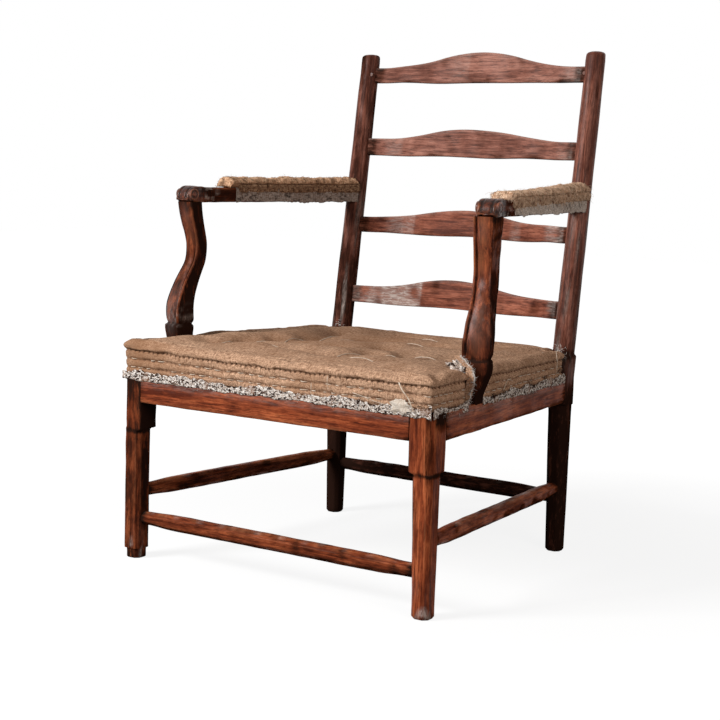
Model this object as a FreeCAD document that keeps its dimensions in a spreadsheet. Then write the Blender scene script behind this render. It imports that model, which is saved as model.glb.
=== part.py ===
"""Rococo ladder-back armchair with a stuffed seat, stripped down to its hessian.

+Z is up and the chair faces -Y. Left and right are as seen from the front. The origin is on the
floor, under the middle of the overall width and depth. Lengths are millimetres, angles degrees.
"""
import FreeCAD, Part
import math
import os
import Sketcher
from FreeCAD import Placement, Rotation, Vector
from types import SimpleNamespace

SIZES = {
    # Overall seat frame and back
    "seat_width_front": 680, "seat_width_back": 572, "seat_depth": 609,
    "back_height": 960, "back_rake": 8.45,
    "rail_bottom": 297, "rail_height": 47, "rail_thickness": 28,
    # Mortise and tenon joints
    "joint_gap": 0.2, "tenon_thickness": 10, "tenon_shoulder": 7, "tenon_spacing": 2,
    "peg_diameter": 7, "peg_stagger": 9, "peg_end": 5, "peg_sink": 1,
    # Front legs
    "leg_head": 46, "head_drop": 51, "head_chamfer": 13, "arris": 1.5, "ledge": 2.5,
    "shank_width": 39.5, "shank_inset": 1.5, "shank_chamfer": 8, "foot_bevel": 2.5,
    "foot_chamfer": 7, "right_foot_width": 33.5, "left_foot_width": 38,
    "left_tip_width": 32, "left_tip_height": 18,
    # Back posts
    "back_block": 44, "block_chamfer": 8, "block_drop": 5, "block_rise": 41,
    "back_shank_width": 40, "back_shank_chamfer": 9, "back_foot_width": 32,
    "post_seat_diameter": 43, "post_top_diameter": 38, "post_dome": 5,
    # Stretchers
    "front_stretcher_height": 77, "side_stretcher_height": 126, "back_stretcher_height": 107,
    "stretcher_tall": 28, "stretcher_deep": 25, "stretcher_chamfer": 8,
    "stretcher_end_tall": 24, "stretcher_end_deep": 21, "stretcher_taper": 90,
    "stretcher_tenon": 17,
    # Ladder slats: lower edges as shares of the back above the seat, end heights, crest heights
    "slat_thickness": 11, "slat_bow": 12, "slat_seat": 14, "slat_shoulder": 12,
    "crest_share": 0.42,
    "top_slat_share": 0.9205, "top_slat_end": 31, "top_slat_crest": 62,
    "upper_slat_share": 0.6753, "upper_slat_end": 35, "upper_slat_crest": 57,
    "lower_slat_share": 0.414, "lower_slat_end": 32, "lower_slat_crest": 53,
    "bottom_slat_share": 0.1753, "bottom_slat_end": 35, "bottom_slat_crest": 58,
    # Arms and their supports
    "arm_inset": 8, "arm_setback": 175, "arm_height": 662,
    "arm_thickness": 28, "arm_width": 37, "arm_back_width": 32,
    "nose_height": 31, "nose_radius": 23, "nose_run": 40, "nose_overhang": 1.5, "nose_crown": 3,
    "scroll_diameter": 22, "scroll_proud": 1.5,
    "arm_tenon": 15, "arm_tenon_length": 18,
    "support_width": 37, "support_waist_width": 34.5, "support_top_depth": 35,
    "support_waist_depth": 30, "support_belly_depth": 45, "support_neck_depth": 39,
    "support_waist_height": 566, "support_belly_height": 448, "support_neck_height": 430,
    "support_waist_back": 20, "support_belly_forward": 29, "support_neck_forward": 27,
    "bead_width": 5, "groove_width": 2.5, "groove_depth": 3.5, "support_arris": 4,
    "plinth_rise": 8, "plinth_height": 24, "plinth_width": 37, "plinth_depth": 44,
    "tongue_thickness": 15, "tongue_width": 28,
    "nail_diameter": 5, "nail_head": 11, "nail_head_depth": 4, "nail_bite": 45,
    # Seat upholstery
    "web_width": 50, "web_thickness": 1.6, "web_slack": 0.1, "web_margin": 9,
    "hessian_thickness": 1, "scrim_thickness": 1.5, "soft_gap": 2,
    "pad_height": 50, "pad_inset": 3, "pad_corner": 24, "row_depth": 4, "roll_height": 15,
    "crown_rise": 9, "tuft_depth": 9, "tuft_radius": 44,
    "tape_height": 15, "tape_thickness": 1.2, "tape_lap": 4,
    # Arm upholstery
    "canvas_thickness": 1.2, "canvas_setback": 82, "canvas_lift": 2,
    "arm_pad_setback": 70, "arm_pad_width": 44, "arm_pad_height": 17, "arm_pad_draw": 3,
}

doc = FreeCAD.newDocument("Armchair")
sheet = doc.addObject("Spreadsheet::Sheet", "Sizes")
for row, (alias, number) in enumerate(SIZES.items(), start=1):
    sheet.set(f"A{row}", alias)
    sheet.set(f"B{row}", str(number))
    sheet.setAlias(f"B{row}", alias)
doc.recompute()


class Term:
    """A length or angle, together with the formula over the sheet's cells that gives it."""

    def __init__(self, value, text):
        self.value = float(value)
        self.text = text

    def __add__(self, other):
        other = term(other)
        return Term(self.value + other.value, f"({self.text} + {other.text})")

    def __sub__(self, other):
        other = term(other)
        return Term(self.value - other.value, f"({self.text} - {other.text})")

    def __mul__(self, other):
        other = term(other)
        return Term(self.value * other.value, f"({self.text} * {other.text})")

    def __truediv__(self, other):
        other = term(other)
        return Term(self.value / other.value, f"({self.text} / {other.text})")

    def __neg__(self):
        return term(0) - self

    __radd__ = __add__
    __rmul__ = __mul__


def term(number):
    return number if isinstance(number, Term) else Term(number, f"({float(number)})")


def tangent(angle):
    return Term(math.tan(math.radians(angle.value)), f"tan({angle.text})")


def cosine(angle):
    return Term(math.cos(math.radians(angle.value)), f"cos({angle.text})")


def root(square):
    return Term(math.sqrt(square.value), f"sqrt({square.text})")


def bearing(rise, run):
    """Angle whose tangent is rise over run."""
    return Term(math.degrees(math.atan2(rise.value, run.value)), f"atan2({rise.text}; {run.text})")


S = SimpleNamespace(**{alias: Term(sheet.get(alias), f"Sizes.{alias}") for alias in SIZES})
EIGHTH = math.tan(math.pi / 8)
LEFT, RIGHT = -1, 1
SIDES = ((LEFT, "left"), (RIGHT, "right"))

# Where the frame's main faces and lines lie
RAIL_TOP = S.rail_bottom + S.rail_height
RAIL_MIDDLE = S.rail_bottom + S.rail_height / 2
LEAN = tangent(S.back_rake)
POST_SETBACK = S.seat_depth - S.back_block / 2
POST_LENGTH = (S.back_height - RAIL_TOP) / cosine(S.back_rake)
OVERALL_DEPTH = (POST_SETBACK + (S.back_height - RAIL_TOP) * LEAN
                 + S.post_top_diameter / 2 * cosine(S.back_rake))
FRONT = -OVERALL_DEPTH / 2
BACK = FRONT + S.seat_depth
HALF_FRONT = S.seat_width_front / 2
HALF_BACK = S.seat_width_back / 2
POST_X = HALF_BACK - S.back_block / 2
POST_Y = FRONT + POST_SETBACK
HEAD_BACK = FRONT + S.leg_head
BLOCK_FRONT = BACK - S.back_block
SPLAY = (HALF_FRONT - HALF_BACK) / (BLOCK_FRONT - HEAD_BACK)
TENON_HEIGHT = S.rail_height - S.tenon_shoulder * 2
FRONT_TENON = S.leg_head - (S.rail_thickness + S.tenon_thickness) / 2 - S.tenon_spacing
BACK_TENON = S.back_block - (S.rail_thickness + S.tenon_thickness) / 2 - S.tenon_spacing
ARM_X = HALF_FRONT - S.arm_inset
ARM_Y = FRONT + S.arm_setback
ARM_RUN_X = POST_X - ARM_X
ARM_RUN_Y = POST_Y + (S.arm_height - RAIL_TOP) * LEAN - ARM_Y
ARM_LENGTH = root(ARM_RUN_X * ARM_RUN_X + ARM_RUN_Y * ARM_RUN_Y)
SEAT_PLANE = RAIL_TOP + S.web_thickness * 2 + S.web_slack * 2
PAD_BOTTOM = SEAT_PLANE + S.hessian_thickness


def slat_bottom(word):
    """Height of a slat's lower edge."""
    return RAIL_TOP + (S.back_height - RAIL_TOP) * getattr(S, word + "_slat_share")


def rail_face(y):
    """Distance of a side rail's outer face from the middle plane, at a depth y."""
    return HALF_FRONT - (y - HEAD_BACK) * SPLAY


# Building blocks

def bind(thing, path, value):
    thing.setExpression(path, term(value).text)


def place(thing, x, y, z, axis=Vector(0, 0, 1), angle=0):
    """Move a body to a point and turn it about one axis through that point."""
    x, y, z, angle = term(x), term(y), term(z), term(angle)
    turn = Rotation(axis, angle.value)
    thing.Placement = Placement(Vector(x.value, y.value, z.value), turn)
    bind(thing, "Placement.Base.x", x)
    bind(thing, "Placement.Base.y", y)
    bind(thing, "Placement.Base.z", z)
    if angle.value:
        bind(thing, "Placement.Rotation.Angle", angle)
    return thing


def place_on_back(thing):
    """Put a body in the raked frame of the back, whose z axis runs up between the posts."""
    turn = -S.back_rake
    return place(thing, 0, POST_Y, RAIL_TOP, Vector(1, 0, 0), turn)


def place_on_arm(thing, side):
    """Put a body in an arm's frame: origin under the nose on the support, y towards the post."""
    turn = bearing(ARM_RUN_X * -side, ARM_RUN_Y)
    return place(thing, ARM_X * side, ARM_Y, S.arm_height, Vector(0, 0, 1), turn)


def new_body(name):
    return doc.addObject("PartDesign::Body", name)


def new_sketch(body, role, offset):
    """Empty sketch on one of the body's origin planes, moved along the plane's normal."""
    sketch = body.newObject("Sketcher::SketchObject", body.Name + "Sketch")
    origin_plane = next(part for part in body.Origin.OriginFeatures if part.Role == role)
    sketch.AttachmentSupport = [(origin_plane, "")]
    sketch.MapMode = "FlatFace"
    bind(sketch, "AttachmentOffset.Base.z", offset)
    return sketch


def fix_point(sketch, edge, end, x, y):
    for kind, value in (("DistanceX", x), ("DistanceY", y)):
        index = sketch.addConstraint(Sketcher.Constraint(kind, -1, 1, edge, end, value.value))
        bind(sketch, f"Constraints[{index}]", value)


def fix_radius(sketch, edge, radius):
    index = sketch.addConstraint(Sketcher.Constraint("Radius", edge, radius.value))
    bind(sketch, f"Constraints[{index}]", radius)


def outline(body, role, offset, corners):
    """Closed sketch through corners (x, y); (x, y, radius, side) starts an arc to the next corner.

    The arc's centre is to the left of the way to the next corner for side 1, to the right for -1.
    """
    sketch = new_sketch(body, role, offset)
    points = [(term(corner[0]), term(corner[1])) for corner in corners]
    flat = [Vector(x.value, y.value, 0) for x, y in points]
    ends = []
    for index, corner in enumerate(corners):
        start, stop = flat[index], flat[(index + 1) % len(flat)]
        if len(corner) == 2:
            sketch.addGeometry(Part.LineSegment(start, stop), False)
            ends.append((1, 2))
            continue
        radius, side = term(corner[2]), corner[3]
        chord = stop - start
        reach = math.sqrt(max(radius.value ** 2 - chord.Length ** 2 / 4, 0))
        centre = (start + stop) / 2 + Vector(-chord.y, chord.x, 0).normalize() * (reach * side)
        first, last = (start, stop) if side > 0 else (stop, start)
        angles = [math.atan2(point.y - centre.y, point.x - centre.x) for point in (first, last)]
        circle = Part.Circle(centre, Vector(0, 0, 1), radius.value)
        sketch.addGeometry(Part.ArcOfCircle(circle, *angles), False)
        ends.append((1, 2) if side > 0 else (2, 1))
    for index in range(len(corners)):
        after = (index + 1) % len(corners)
        joint = Sketcher.Constraint("Coincident", index, ends[index][1], after, ends[after][0])
        sketch.addConstraint(joint)
    for index, corner in enumerate(corners):
        fix_point(sketch, index, ends[index][0], *points[index])
        if len(corner) > 2:
            fix_radius(sketch, index, term(corner[2]))
    return sketch


def pad(body, sketch, length, symmetric=False):
    feature = body.newObject("PartDesign::Pad", body.Name + "Pad")
    feature.Profile = sketch
    feature.SideType = "Symmetric" if symmetric else "One side"
    bind(feature, "Length", length)
    return body


def loft(body, sections, ruled=True):
    feature = body.newObject("PartDesign::AdditiveLoft", body.Name + "Loft")
    feature.Profile = sections[0]
    feature.Sections = sections[1:]
    feature.Ruled = ruled
    return body


def along_normal(body, role, start, stop, draw):
    """Pad what draw sketches at an offset, from start to stop along the plane's axis."""
    offset = -term(stop) if role == "XZ_Plane" else term(start)
    return pad(body, draw(offset), term(stop) - start)


def rod(name, role, x, y, radius, start, stop):
    """Shaved eight-sided bar along the normal of an origin plane; radius is to its flats."""
    body = new_body(name)
    facet = radius * EIGHTH
    corners = [(radius, -facet), (radius, facet), (facet, radius), (-facet, radius),
               (-radius, facet), (-radius, -facet), (-facet, -radius), (facet, -radius)]
    points = [(x + across, y + up) for across, up in corners]
    return along_normal(body, role, start, stop,
                        lambda offset: outline(body, role, offset, points))


def round_bar(name, role, x, y, radius, start, stop):
    """Turned bar along the normal of an origin plane."""
    body = new_body(name)

    def draw(offset):
        sketch = new_sketch(body, role, offset)
        circle = Part.Circle(Vector(x.value, y.value, 0), Vector(0, 0, 1), radius.value)
        sketch.addGeometry(circle, False)
        fix_point(sketch, 0, 3, x, y)
        fix_radius(sketch, 0, radius)
        return sketch

    return along_normal(body, role, start, stop, draw)


def box(name, x, y, z):
    """Block between pairs of x, y and z."""
    block = doc.addObject("Part::Box", name)
    for size, axis, pair in (("Length", "x", x), ("Width", "y", y), ("Height", "z", z)):
        low, high = sorted((term(value) for value in pair), key=lambda value: value.value)
        bind(block, size, high - low)
        bind(block, "Placement.Base." + axis, low)
    return block


def combine(kind, name, first, second):
    result = doc.addObject("Part::" + kind, name)
    result.Base = first
    result.Tool = second
    return result


def group(name, things):
    result = doc.addObject("Part::Compound", name)
    result.Links = things
    return result


def cut(name, base, tools):
    return combine("Cut", name, base, group(name + "Tools", tools))


NODES = []


def node(thing, label):
    """Register a finished piece under the name of its file."""
    thing.Label = label
    NODES.append(thing)


# Front legs: square head, broad outer chamfer, ledge, tapered octagonal shank

def front_leg_section(body, side, height, inset, width, outer_chamfer, chamfer):
    near, far = term(inset), inset + width
    corners = [(near, near + outer_chamfer), (near + outer_chamfer, near),
               (far - chamfer, near), (far, near + chamfer),
               (far, far - chamfer), (far - chamfer, far),
               (near + chamfer, far), (near, far - chamfer)]
    points = [((HALF_FRONT - across) * side, FRONT + along) for across, along in corners]
    return outline(body, "XY_Plane", height, points)


def front_leg(side):
    body = new_body("FrontLeg")
    head_bottom = S.rail_bottom - S.head_drop
    inset = S.shank_inset
    if side == RIGHT:
        levels = [(0, inset + S.foot_bevel, S.right_foot_width - S.foot_bevel * 2),
                  (S.foot_bevel, inset, S.right_foot_width)]
    else:
        tip_inset = inset + (S.left_foot_width - S.left_tip_width) / 2
        levels = [(0, tip_inset + S.foot_bevel, S.left_tip_width - S.foot_bevel * 2),
                  (S.foot_bevel, tip_inset, S.left_tip_width),
                  (S.left_tip_height, tip_inset, S.left_tip_width),
                  (S.left_tip_height + S.foot_bevel, inset, S.left_foot_width)]
    sections = [front_leg_section(body, side, height, near, width, S.foot_chamfer, S.foot_chamfer)
                for height, near, width in levels]
    sections.append(front_leg_section(body, side, head_bottom - S.ledge, inset, S.shank_width,
                                      S.shank_chamfer, S.shank_chamfer))
    for height in (head_bottom, RAIL_TOP):
        sections.append(front_leg_section(body, side, height, term(0), S.leg_head,
                                          S.head_chamfer, S.arris))
    return loft(body, sections)


# Back posts: octagonal leg, seat block that takes up the rake, round shaft with a domed top

def back_post_section(body, side, height, shift, width, outer_chamfer, chamfer):
    half = width / 2
    corners = [(half, half - outer_chamfer), (half - outer_chamfer, half),
               (chamfer - half, half), (-half, half - chamfer),
               (-half, chamfer - half), (chamfer - half, -half),
               (half - chamfer, -half), (half, chamfer - half)]
    points = [((POST_X + across) * side, POST_Y + shift + along) for across, along in corners]
    return outline(body, "XY_Plane", height, points)


def back_post(side):
    leg = new_body("BackLeg")
    block_bottom = S.rail_bottom - S.block_drop
    sections = [
        back_post_section(leg, side, height, 0, width, chamfer, chamfer)
        for height, width, chamfer in (
            (0, S.back_foot_width - S.foot_bevel * 2, S.foot_chamfer),
            (S.foot_bevel, S.back_foot_width, S.foot_chamfer),
            (block_bottom - S.ledge, S.back_shank_width, S.back_shank_chamfer))]
    for height, shift in ((block_bottom, 0), (RAIL_TOP, 0),
                          (RAIL_TOP + S.block_rise, S.block_rise * LEAN)):
        sections.append(back_post_section(leg, side, height, shift, S.back_block,
                                          S.block_chamfer, S.arris))
    loft(leg, sections)
    shaft = new_body("BackShaft")
    low, high = S.post_seat_diameter / 2, S.post_top_diameter / 2
    start = S.block_rise / 2
    profile = outline(shaft, "XZ_Plane", 0, [
        (0, start), (low, start), (high, POST_LENGTH - S.post_dome),
        (high - S.post_dome, POST_LENGTH - S.post_dome / 4), (0, POST_LENGTH)])
    turned = shaft.newObject("PartDesign::Revolution", "BackShaftTurned")
    turned.Profile = profile
    turned.ReferenceAxis = (profile, ["V_Axis"])
    turned.Angle = 360
    place(shaft, POST_X * side, POST_Y, RAIL_TOP, Vector(1, 0, 0), -S.back_rake)
    return combine("Fuse", "BackPostWhole", leg, shaft)


# Seat rails with their tenons, and the mortises for them

def strip(half_thickness, line):
    """Corners of a strip of even width in x about a line of (x, y) points, in order round it."""
    there = [(x - half_thickness, y) for x, y in line]
    back = [(x + half_thickness, y) for x, y in reversed(line)]
    return there + back


def cross_rail(name, shoulder, reach, y_low):
    """Front or back rail: a bar between the shoulders, with one long tenon running through it."""
    body = new_body(name)
    y_high = y_low + S.rail_thickness
    bar = [(-shoulder, y_low), (shoulder, y_low), (shoulder, y_high), (-shoulder, y_high)]
    pad(body, outline(body, "XY_Plane", S.rail_bottom, bar), S.rail_height)
    tip = shoulder + reach
    near, far = (y_low + (S.rail_thickness + S.tenon_thickness * way) / 2 for way in (-1, 1))
    tenon = [(-tip, near), (tip, near), (tip, far), (-tip, far)]
    pad(body, outline(body, "XY_Plane", S.rail_bottom + S.tenon_shoulder, tenon), TENON_HEIGHT)
    return body


def side_rail(side):
    body = new_body("SideRail")
    half = S.rail_thickness / 2
    front_x, back_x = HALF_FRONT - half, HALF_BACK - half
    bar = strip(half, [(front_x * side, HEAD_BACK), (back_x * side, BLOCK_FRONT)])
    pad(body, outline(body, "XY_Plane", S.rail_bottom, bar), S.rail_height)
    tenon = strip(S.tenon_thickness / 2, [
        (front_x * side, HEAD_BACK - FRONT_TENON), (front_x * side, HEAD_BACK),
        (back_x * side, BLOCK_FRONT), (back_x * side, BLOCK_FRONT + BACK_TENON)])
    pad(body, outline(body, "XY_Plane", S.rail_bottom + S.tenon_shoulder, tenon), TENON_HEIGHT)
    return body


def rail_mortises(side):
    """Sockets in one front leg and in one back post, each for a cross rail and a side rail."""
    gap = S.joint_gap
    half = S.tenon_thickness / 2 + gap
    middle = S.rail_thickness / 2
    z = (S.rail_bottom + S.tenon_shoulder - gap, RAIL_TOP - S.tenon_shoulder + gap)

    def socket(x_pair, y_pair):
        return box("RailMortise", [x * side for x in x_pair], y_pair, z)

    in_leg = [
        socket((HALF_FRONT - S.leg_head, HALF_FRONT - S.leg_head + FRONT_TENON + gap),
               (FRONT + middle - half, FRONT + middle + half)),
        socket((HALF_FRONT - middle - half, HALF_FRONT - middle + half),
               (HEAD_BACK - FRONT_TENON - gap, HEAD_BACK))]
    in_post = [
        socket((HALF_BACK - S.back_block, HALF_BACK - S.back_block + BACK_TENON + gap),
               (BACK - middle - half, BACK - middle + half)),
        socket((HALF_BACK - middle - half, HALF_BACK - middle + half),
               (BLOCK_FRONT, BLOCK_FRONT + BACK_TENON + gap))]
    return in_leg, in_post


def rail_pegs(side, gap):
    """Pegs driven from the inner faces: each crosses one tenon. Returns leg pegs and post pegs."""
    radius = S.peg_diameter / 2 + gap
    upper, lower = RAIL_MIDDLE + S.peg_stagger, RAIL_MIDDLE - S.peg_stagger
    leg_free = (S.leg_head - S.rail_thickness) / 2
    block_free = (S.back_block - S.rail_thickness) / 2
    leg_inner, block_inner = HALF_FRONT - S.leg_head, HALF_BACK - S.back_block

    def along_x(inner, y):
        pair = (inner * side, (inner + S.leg_head - S.peg_end) * side)
        start, stop = sorted(pair, key=lambda value: value.value)
        return rod("RailPeg", "YZ_Plane", y, lower, radius, start, stop)

    in_leg = [rod("RailPeg", "XZ_Plane", (leg_inner + leg_free) * side, upper, radius,
                  FRONT + S.peg_end, HEAD_BACK),
              along_x(leg_inner, HEAD_BACK - leg_free)]
    in_post = [rod("RailPeg", "XZ_Plane", (block_inner + block_free) * side, upper, radius,
                   BLOCK_FRONT, BACK - S.peg_end),
               along_x(block_inner, BLOCK_FRONT + block_free)]
    return in_leg, in_post


# Stretchers: shaved octagonal bars, scribed to the legs, with round tenons

def stretcher_section(body, offset, tall, deep):
    half_tall, half_deep, cut_back = tall / 2, deep / 2, S.stretcher_chamfer
    corners = [(half_deep, half_tall - cut_back), (half_deep - cut_back, half_tall),
               (cut_back - half_deep, half_tall), (-half_deep, half_tall - cut_back),
               (-half_deep, cut_back - half_tall), (cut_back - half_deep, -half_tall),
               (half_deep - cut_back, -half_tall), (half_deep, cut_back - half_tall)]
    return outline(body, "YZ_Plane", offset, corners)


def stretcher(name, start, end, height, legs):
    """Bar from one leg's middle to another's. Returns the finished bar and its mortise."""
    run_x, run_y = end[0] - start[0], end[1] - start[1]
    length = root(run_x * run_x + run_y * run_y)
    angle = bearing(run_y, run_x)

    def lay(body):
        return place(body, start[0], start[1], height, Vector(0, 0, 1), angle)

    bar = new_body(name)
    slim = (S.stretcher_end_tall, S.stretcher_end_deep)
    full = (S.stretcher_tall, S.stretcher_deep)
    loft(bar, [stretcher_section(bar, offset, *size) for offset, size in (
        (0, slim), (S.stretcher_taper, full), (length - S.stretcher_taper, full), (length, slim))])
    trimmed = cut(name + "Trimmed", lay(bar), legs)
    radius = S.stretcher_tenon / 2
    tenon = lay(rod(name + "Tenon", "YZ_Plane", 0, 0, radius, 0, length))
    gap = S.joint_gap
    mortise = lay(rod(name + "Mortise", "YZ_Plane", 0, 0, radius + gap, -gap, length + gap))
    return combine("Fuse", name + "Whole", trimmed, tenon), mortise


# Ladder slats: serpentine crest sawn from the front, bow sawn from above

def slat(name, height, end, crest, grow):
    """Bowed slat in the raked frame; grow makes it the mortise that takes the slat."""
    half = POST_X - S.post_seat_diameter / 2 + S.slat_seat + grow
    run = half - grow - S.slat_seat - S.slat_shoulder
    bottom = (height - RAIL_TOP) / cosine(S.back_rake) - grow
    shoulder = bottom + end + grow * 2
    top = bottom + crest + grow * 2
    rise = top - shoulder
    bend = (run * run + rise * rise) / (rise * 2)
    turn_x, turn_z = run * S.crest_share, top - rise * S.crest_share
    hollow, swell = bend * (term(1) - S.crest_share), bend * S.crest_share
    front = new_body(name + "Front")
    face = outline(front, "XZ_Plane", 0, [
        (-half, bottom), (half, bottom), (half, shoulder), (run, shoulder, hollow, -1),
        (turn_x, turn_z, swell, 1), (-turn_x, turn_z, hollow, -1), (-run, shoulder),
        (-half, shoulder)])
    depth = (S.slat_thickness + S.slat_bow + grow) * 4
    place_on_back(pad(front, face, depth, symmetric=True))
    plan = new_body(name + "Plan")
    bow_radius = (half * half + S.slat_bow * S.slat_bow) / (S.slat_bow * 2)
    y = S.slat_thickness / 2 + grow
    band = outline(plan, "XY_Plane", 0, [
        (-half, -y, bow_radius, -1), (half, -y), (half, y, bow_radius, 1), (-half, y)])
    place_on_back(pad(plan, band, POST_LENGTH + crest))
    return combine("Common", name + "Whole", front, plan)


def slat_pegs(gap):
    """A peg through each end of the top slat, driven from the back of the post."""
    radius = S.peg_diameter / 2 + gap
    middle = (slat_bottom("top") + S.top_slat_end / 2 - RAIL_TOP) / cosine(S.back_rake)
    x = POST_X - S.post_seat_diameter / 2 + S.slat_seat / 2
    reach = S.post_top_diameter / 2
    return [place_on_back(rod("SlatPeg", "XZ_Plane", x * side, middle, radius,
                              -reach + S.peg_end, reach - S.peg_sink)) for side, _ in SIDES]


# Arms: sawn from the side and from above, scroll eyes, saddle and tenon against the post

def arm_blank(side):
    front = S.support_top_depth / 2 + S.nose_overhang
    profile = new_body("ArmSide")
    pad(profile, outline(profile, "YZ_Plane", 0, [
        (-front, 0), (ARM_LENGTH, 0), (ARM_LENGTH, S.arm_thickness),
        (S.nose_run, S.arm_thickness), (S.nose_radius - front, S.nose_height, S.nose_radius, 1),
        (-front, S.nose_height - S.nose_radius)]), S.arm_width * 2, symmetric=True)
    plan = new_body("ArmPlan")
    half, back_half = S.arm_width / 2, S.arm_back_width / 2
    crown_radius = (half * half + S.nose_crown * S.nose_crown) / (S.nose_crown * 2)
    nose = S.nose_crown - front
    pad(plan, outline(plan, "XY_Plane", 0, [
        (-half, nose, crown_radius, 1), (half, nose), (back_half, ARM_LENGTH),
        (-back_half, ARM_LENGTH)]), S.nose_height * 2)
    wood = combine("Common", "ArmWood", place_on_arm(profile, side), place_on_arm(plan, side))
    eye_reach = S.arm_width / 2 + S.scroll_proud
    eye = round_bar("ArmEye", "YZ_Plane", S.scroll_diameter / 2 - front + S.nose_crown,
              S.nose_height / 2, S.scroll_diameter / 2, -eye_reach, eye_reach)
    return combine("Fuse", "ArmBlank", wood, place_on_arm(eye, side))


def arm_rod(name, side, radius, start, stop):
    """Round bar along an arm's middle line."""
    return place_on_arm(rod(name, "XZ_Plane", 0, S.arm_thickness / 2, radius, start, stop), side)


def arm_nail(side, gap, head_depth):
    """Forged nail from the back of the post into the arm."""
    head_start = ARM_LENGTH + S.post_top_diameter / 2 - S.nail_head_depth
    shank = arm_rod("ArmNail", side, S.nail_diameter / 2 + gap,
                    ARM_LENGTH - S.post_seat_diameter / 2 - S.nail_bite, head_start)
    head = arm_rod("ArmNailHead", side, S.nail_head / 2 + gap, head_start,
                   head_start + head_depth)
    return combine("Fuse", "ArmNailWhole", shank, head)


# Arm supports: S-curved, moulded along the front, standing on a plinth and a tongue in the rail

def support_section(body, side, height, shift, width, depth):
    """Beads along both front edges, a faceted roll between two grooves, eased back edges."""
    half, near, far = width / 2, -depth / 2, depth / 2
    bead, groove = S.bead_width, S.bead_width + S.groove_width
    roll = half - groove
    corners = [
        (-half, near + S.groove_depth / 2), (bead - half, near),
        (-roll, near + S.groove_depth), (roll * -0.5, near), (roll * 0.5, near),
        (roll, near + S.groove_depth), (half - bead, near),
        (half, near + S.groove_depth / 2), (half, far - S.support_arris),
        (half - S.support_arris, far), (S.support_arris - half, far),
        (-half, far - S.support_arris)]
    points = [(ARM_X * side + across, ARM_Y + shift + along) for across, along in corners]
    return outline(body, "XY_Plane", height, points)


def tongue_corners(side, grow):
    """Plan of the support's tongue, flush with the rail's sloping outer face."""
    middle = ARM_Y - S.support_neck_forward
    low, high = middle - S.tongue_width / 2 - grow, middle + S.tongue_width / 2 + grow
    outer = [(rail_face(y), y) for y in (low, high)]
    inner = [(x - S.tongue_thickness - grow, y) for x, y in reversed(outer)]
    return [(x * side, y) for x, y in outer + inner]


def tongue(side, grow):
    body = new_body("SupportTongue")
    start = S.rail_bottom - grow
    corners = outline(body, "XY_Plane", start, tongue_corners(side, grow))
    return pad(body, corners, RAIL_TOP + grow - start)


def arm_support(side):
    body = new_body("ArmSupport")
    flank = (S.support_waist_height + S.support_belly_height) / 2
    shoulder = (S.support_waist_height + S.arm_height) / 2
    stations = [
        (S.support_neck_height, -S.support_neck_forward, S.support_waist_width,
         S.support_neck_depth),
        (S.support_belly_height, -S.support_belly_forward, S.support_width,
         S.support_belly_depth),
        (flank, (S.support_waist_back - S.support_belly_forward) / 2, S.support_width,
         (S.support_waist_depth + S.support_belly_depth) / 2),
        (S.support_waist_height, S.support_waist_back, S.support_waist_width,
         S.support_waist_depth),
        (shoulder, S.support_waist_back / 2, S.support_width,
         (S.support_waist_depth + S.support_top_depth) / 2),
        (S.arm_height, 0, S.support_width, S.support_top_depth)]
    loft(body, [support_section(body, side, *station) for station in stations], ruled=False)
    plinth = new_body("SupportPlinth")
    middle = ARM_Y - S.support_neck_forward
    sections = []
    plinth_top = S.support_neck_height
    for height, width, depth in (
            (plinth_top, S.support_waist_width, S.support_neck_depth),
            (plinth_top - S.plinth_rise, S.plinth_width, S.plinth_depth),
            (plinth_top - S.plinth_height, S.plinth_width, S.plinth_depth)):
        half, deep = width / 2, depth / 2
        corners = [(ARM_X + half, middle - deep), (ARM_X + half, middle + deep),
                   (ARM_X - half, middle + deep), (ARM_X - half, middle - deep)]
        sections.append(outline(plinth, "XY_Plane", height, [(x * side, y) for x, y in corners]))
    sections.append(outline(plinth, "XY_Plane", RAIL_TOP, tongue_corners(side, term(0))))
    loft(plinth, sections)
    pin = rod("SupportPin", "XY_Plane", ARM_X * side, ARM_Y, S.arm_tenon / 2, S.arm_height
              - S.arm_tenon_length, S.arm_height + S.arm_tenon_length)
    lower = combine("Fuse", "SupportLower", plinth, tongue(side, term(0)))
    upper = combine("Fuse", "SupportUpper", body, pin)
    return combine("Fuse", "SupportWhole", upper, lower)


def support_nails(side, gap):
    """Two forged nails from the rail's inner face into the tongue, one above the other."""
    y = ARM_Y - S.support_neck_forward
    inner = rail_face(y) - S.rail_thickness
    radius = S.nail_diameter / 2 + gap
    nails = []
    for way in (-1, 1):
        z = RAIL_MIDDLE + S.rail_height / 4 * way
        ends = sorted((inner * side, (inner + S.rail_thickness - S.peg_end) * side),
                      key=lambda value: value.value)
        nails.append(rod("SupportNail", "YZ_Plane", y, z, radius, *ends))
    return nails


# Frame assembly

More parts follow.
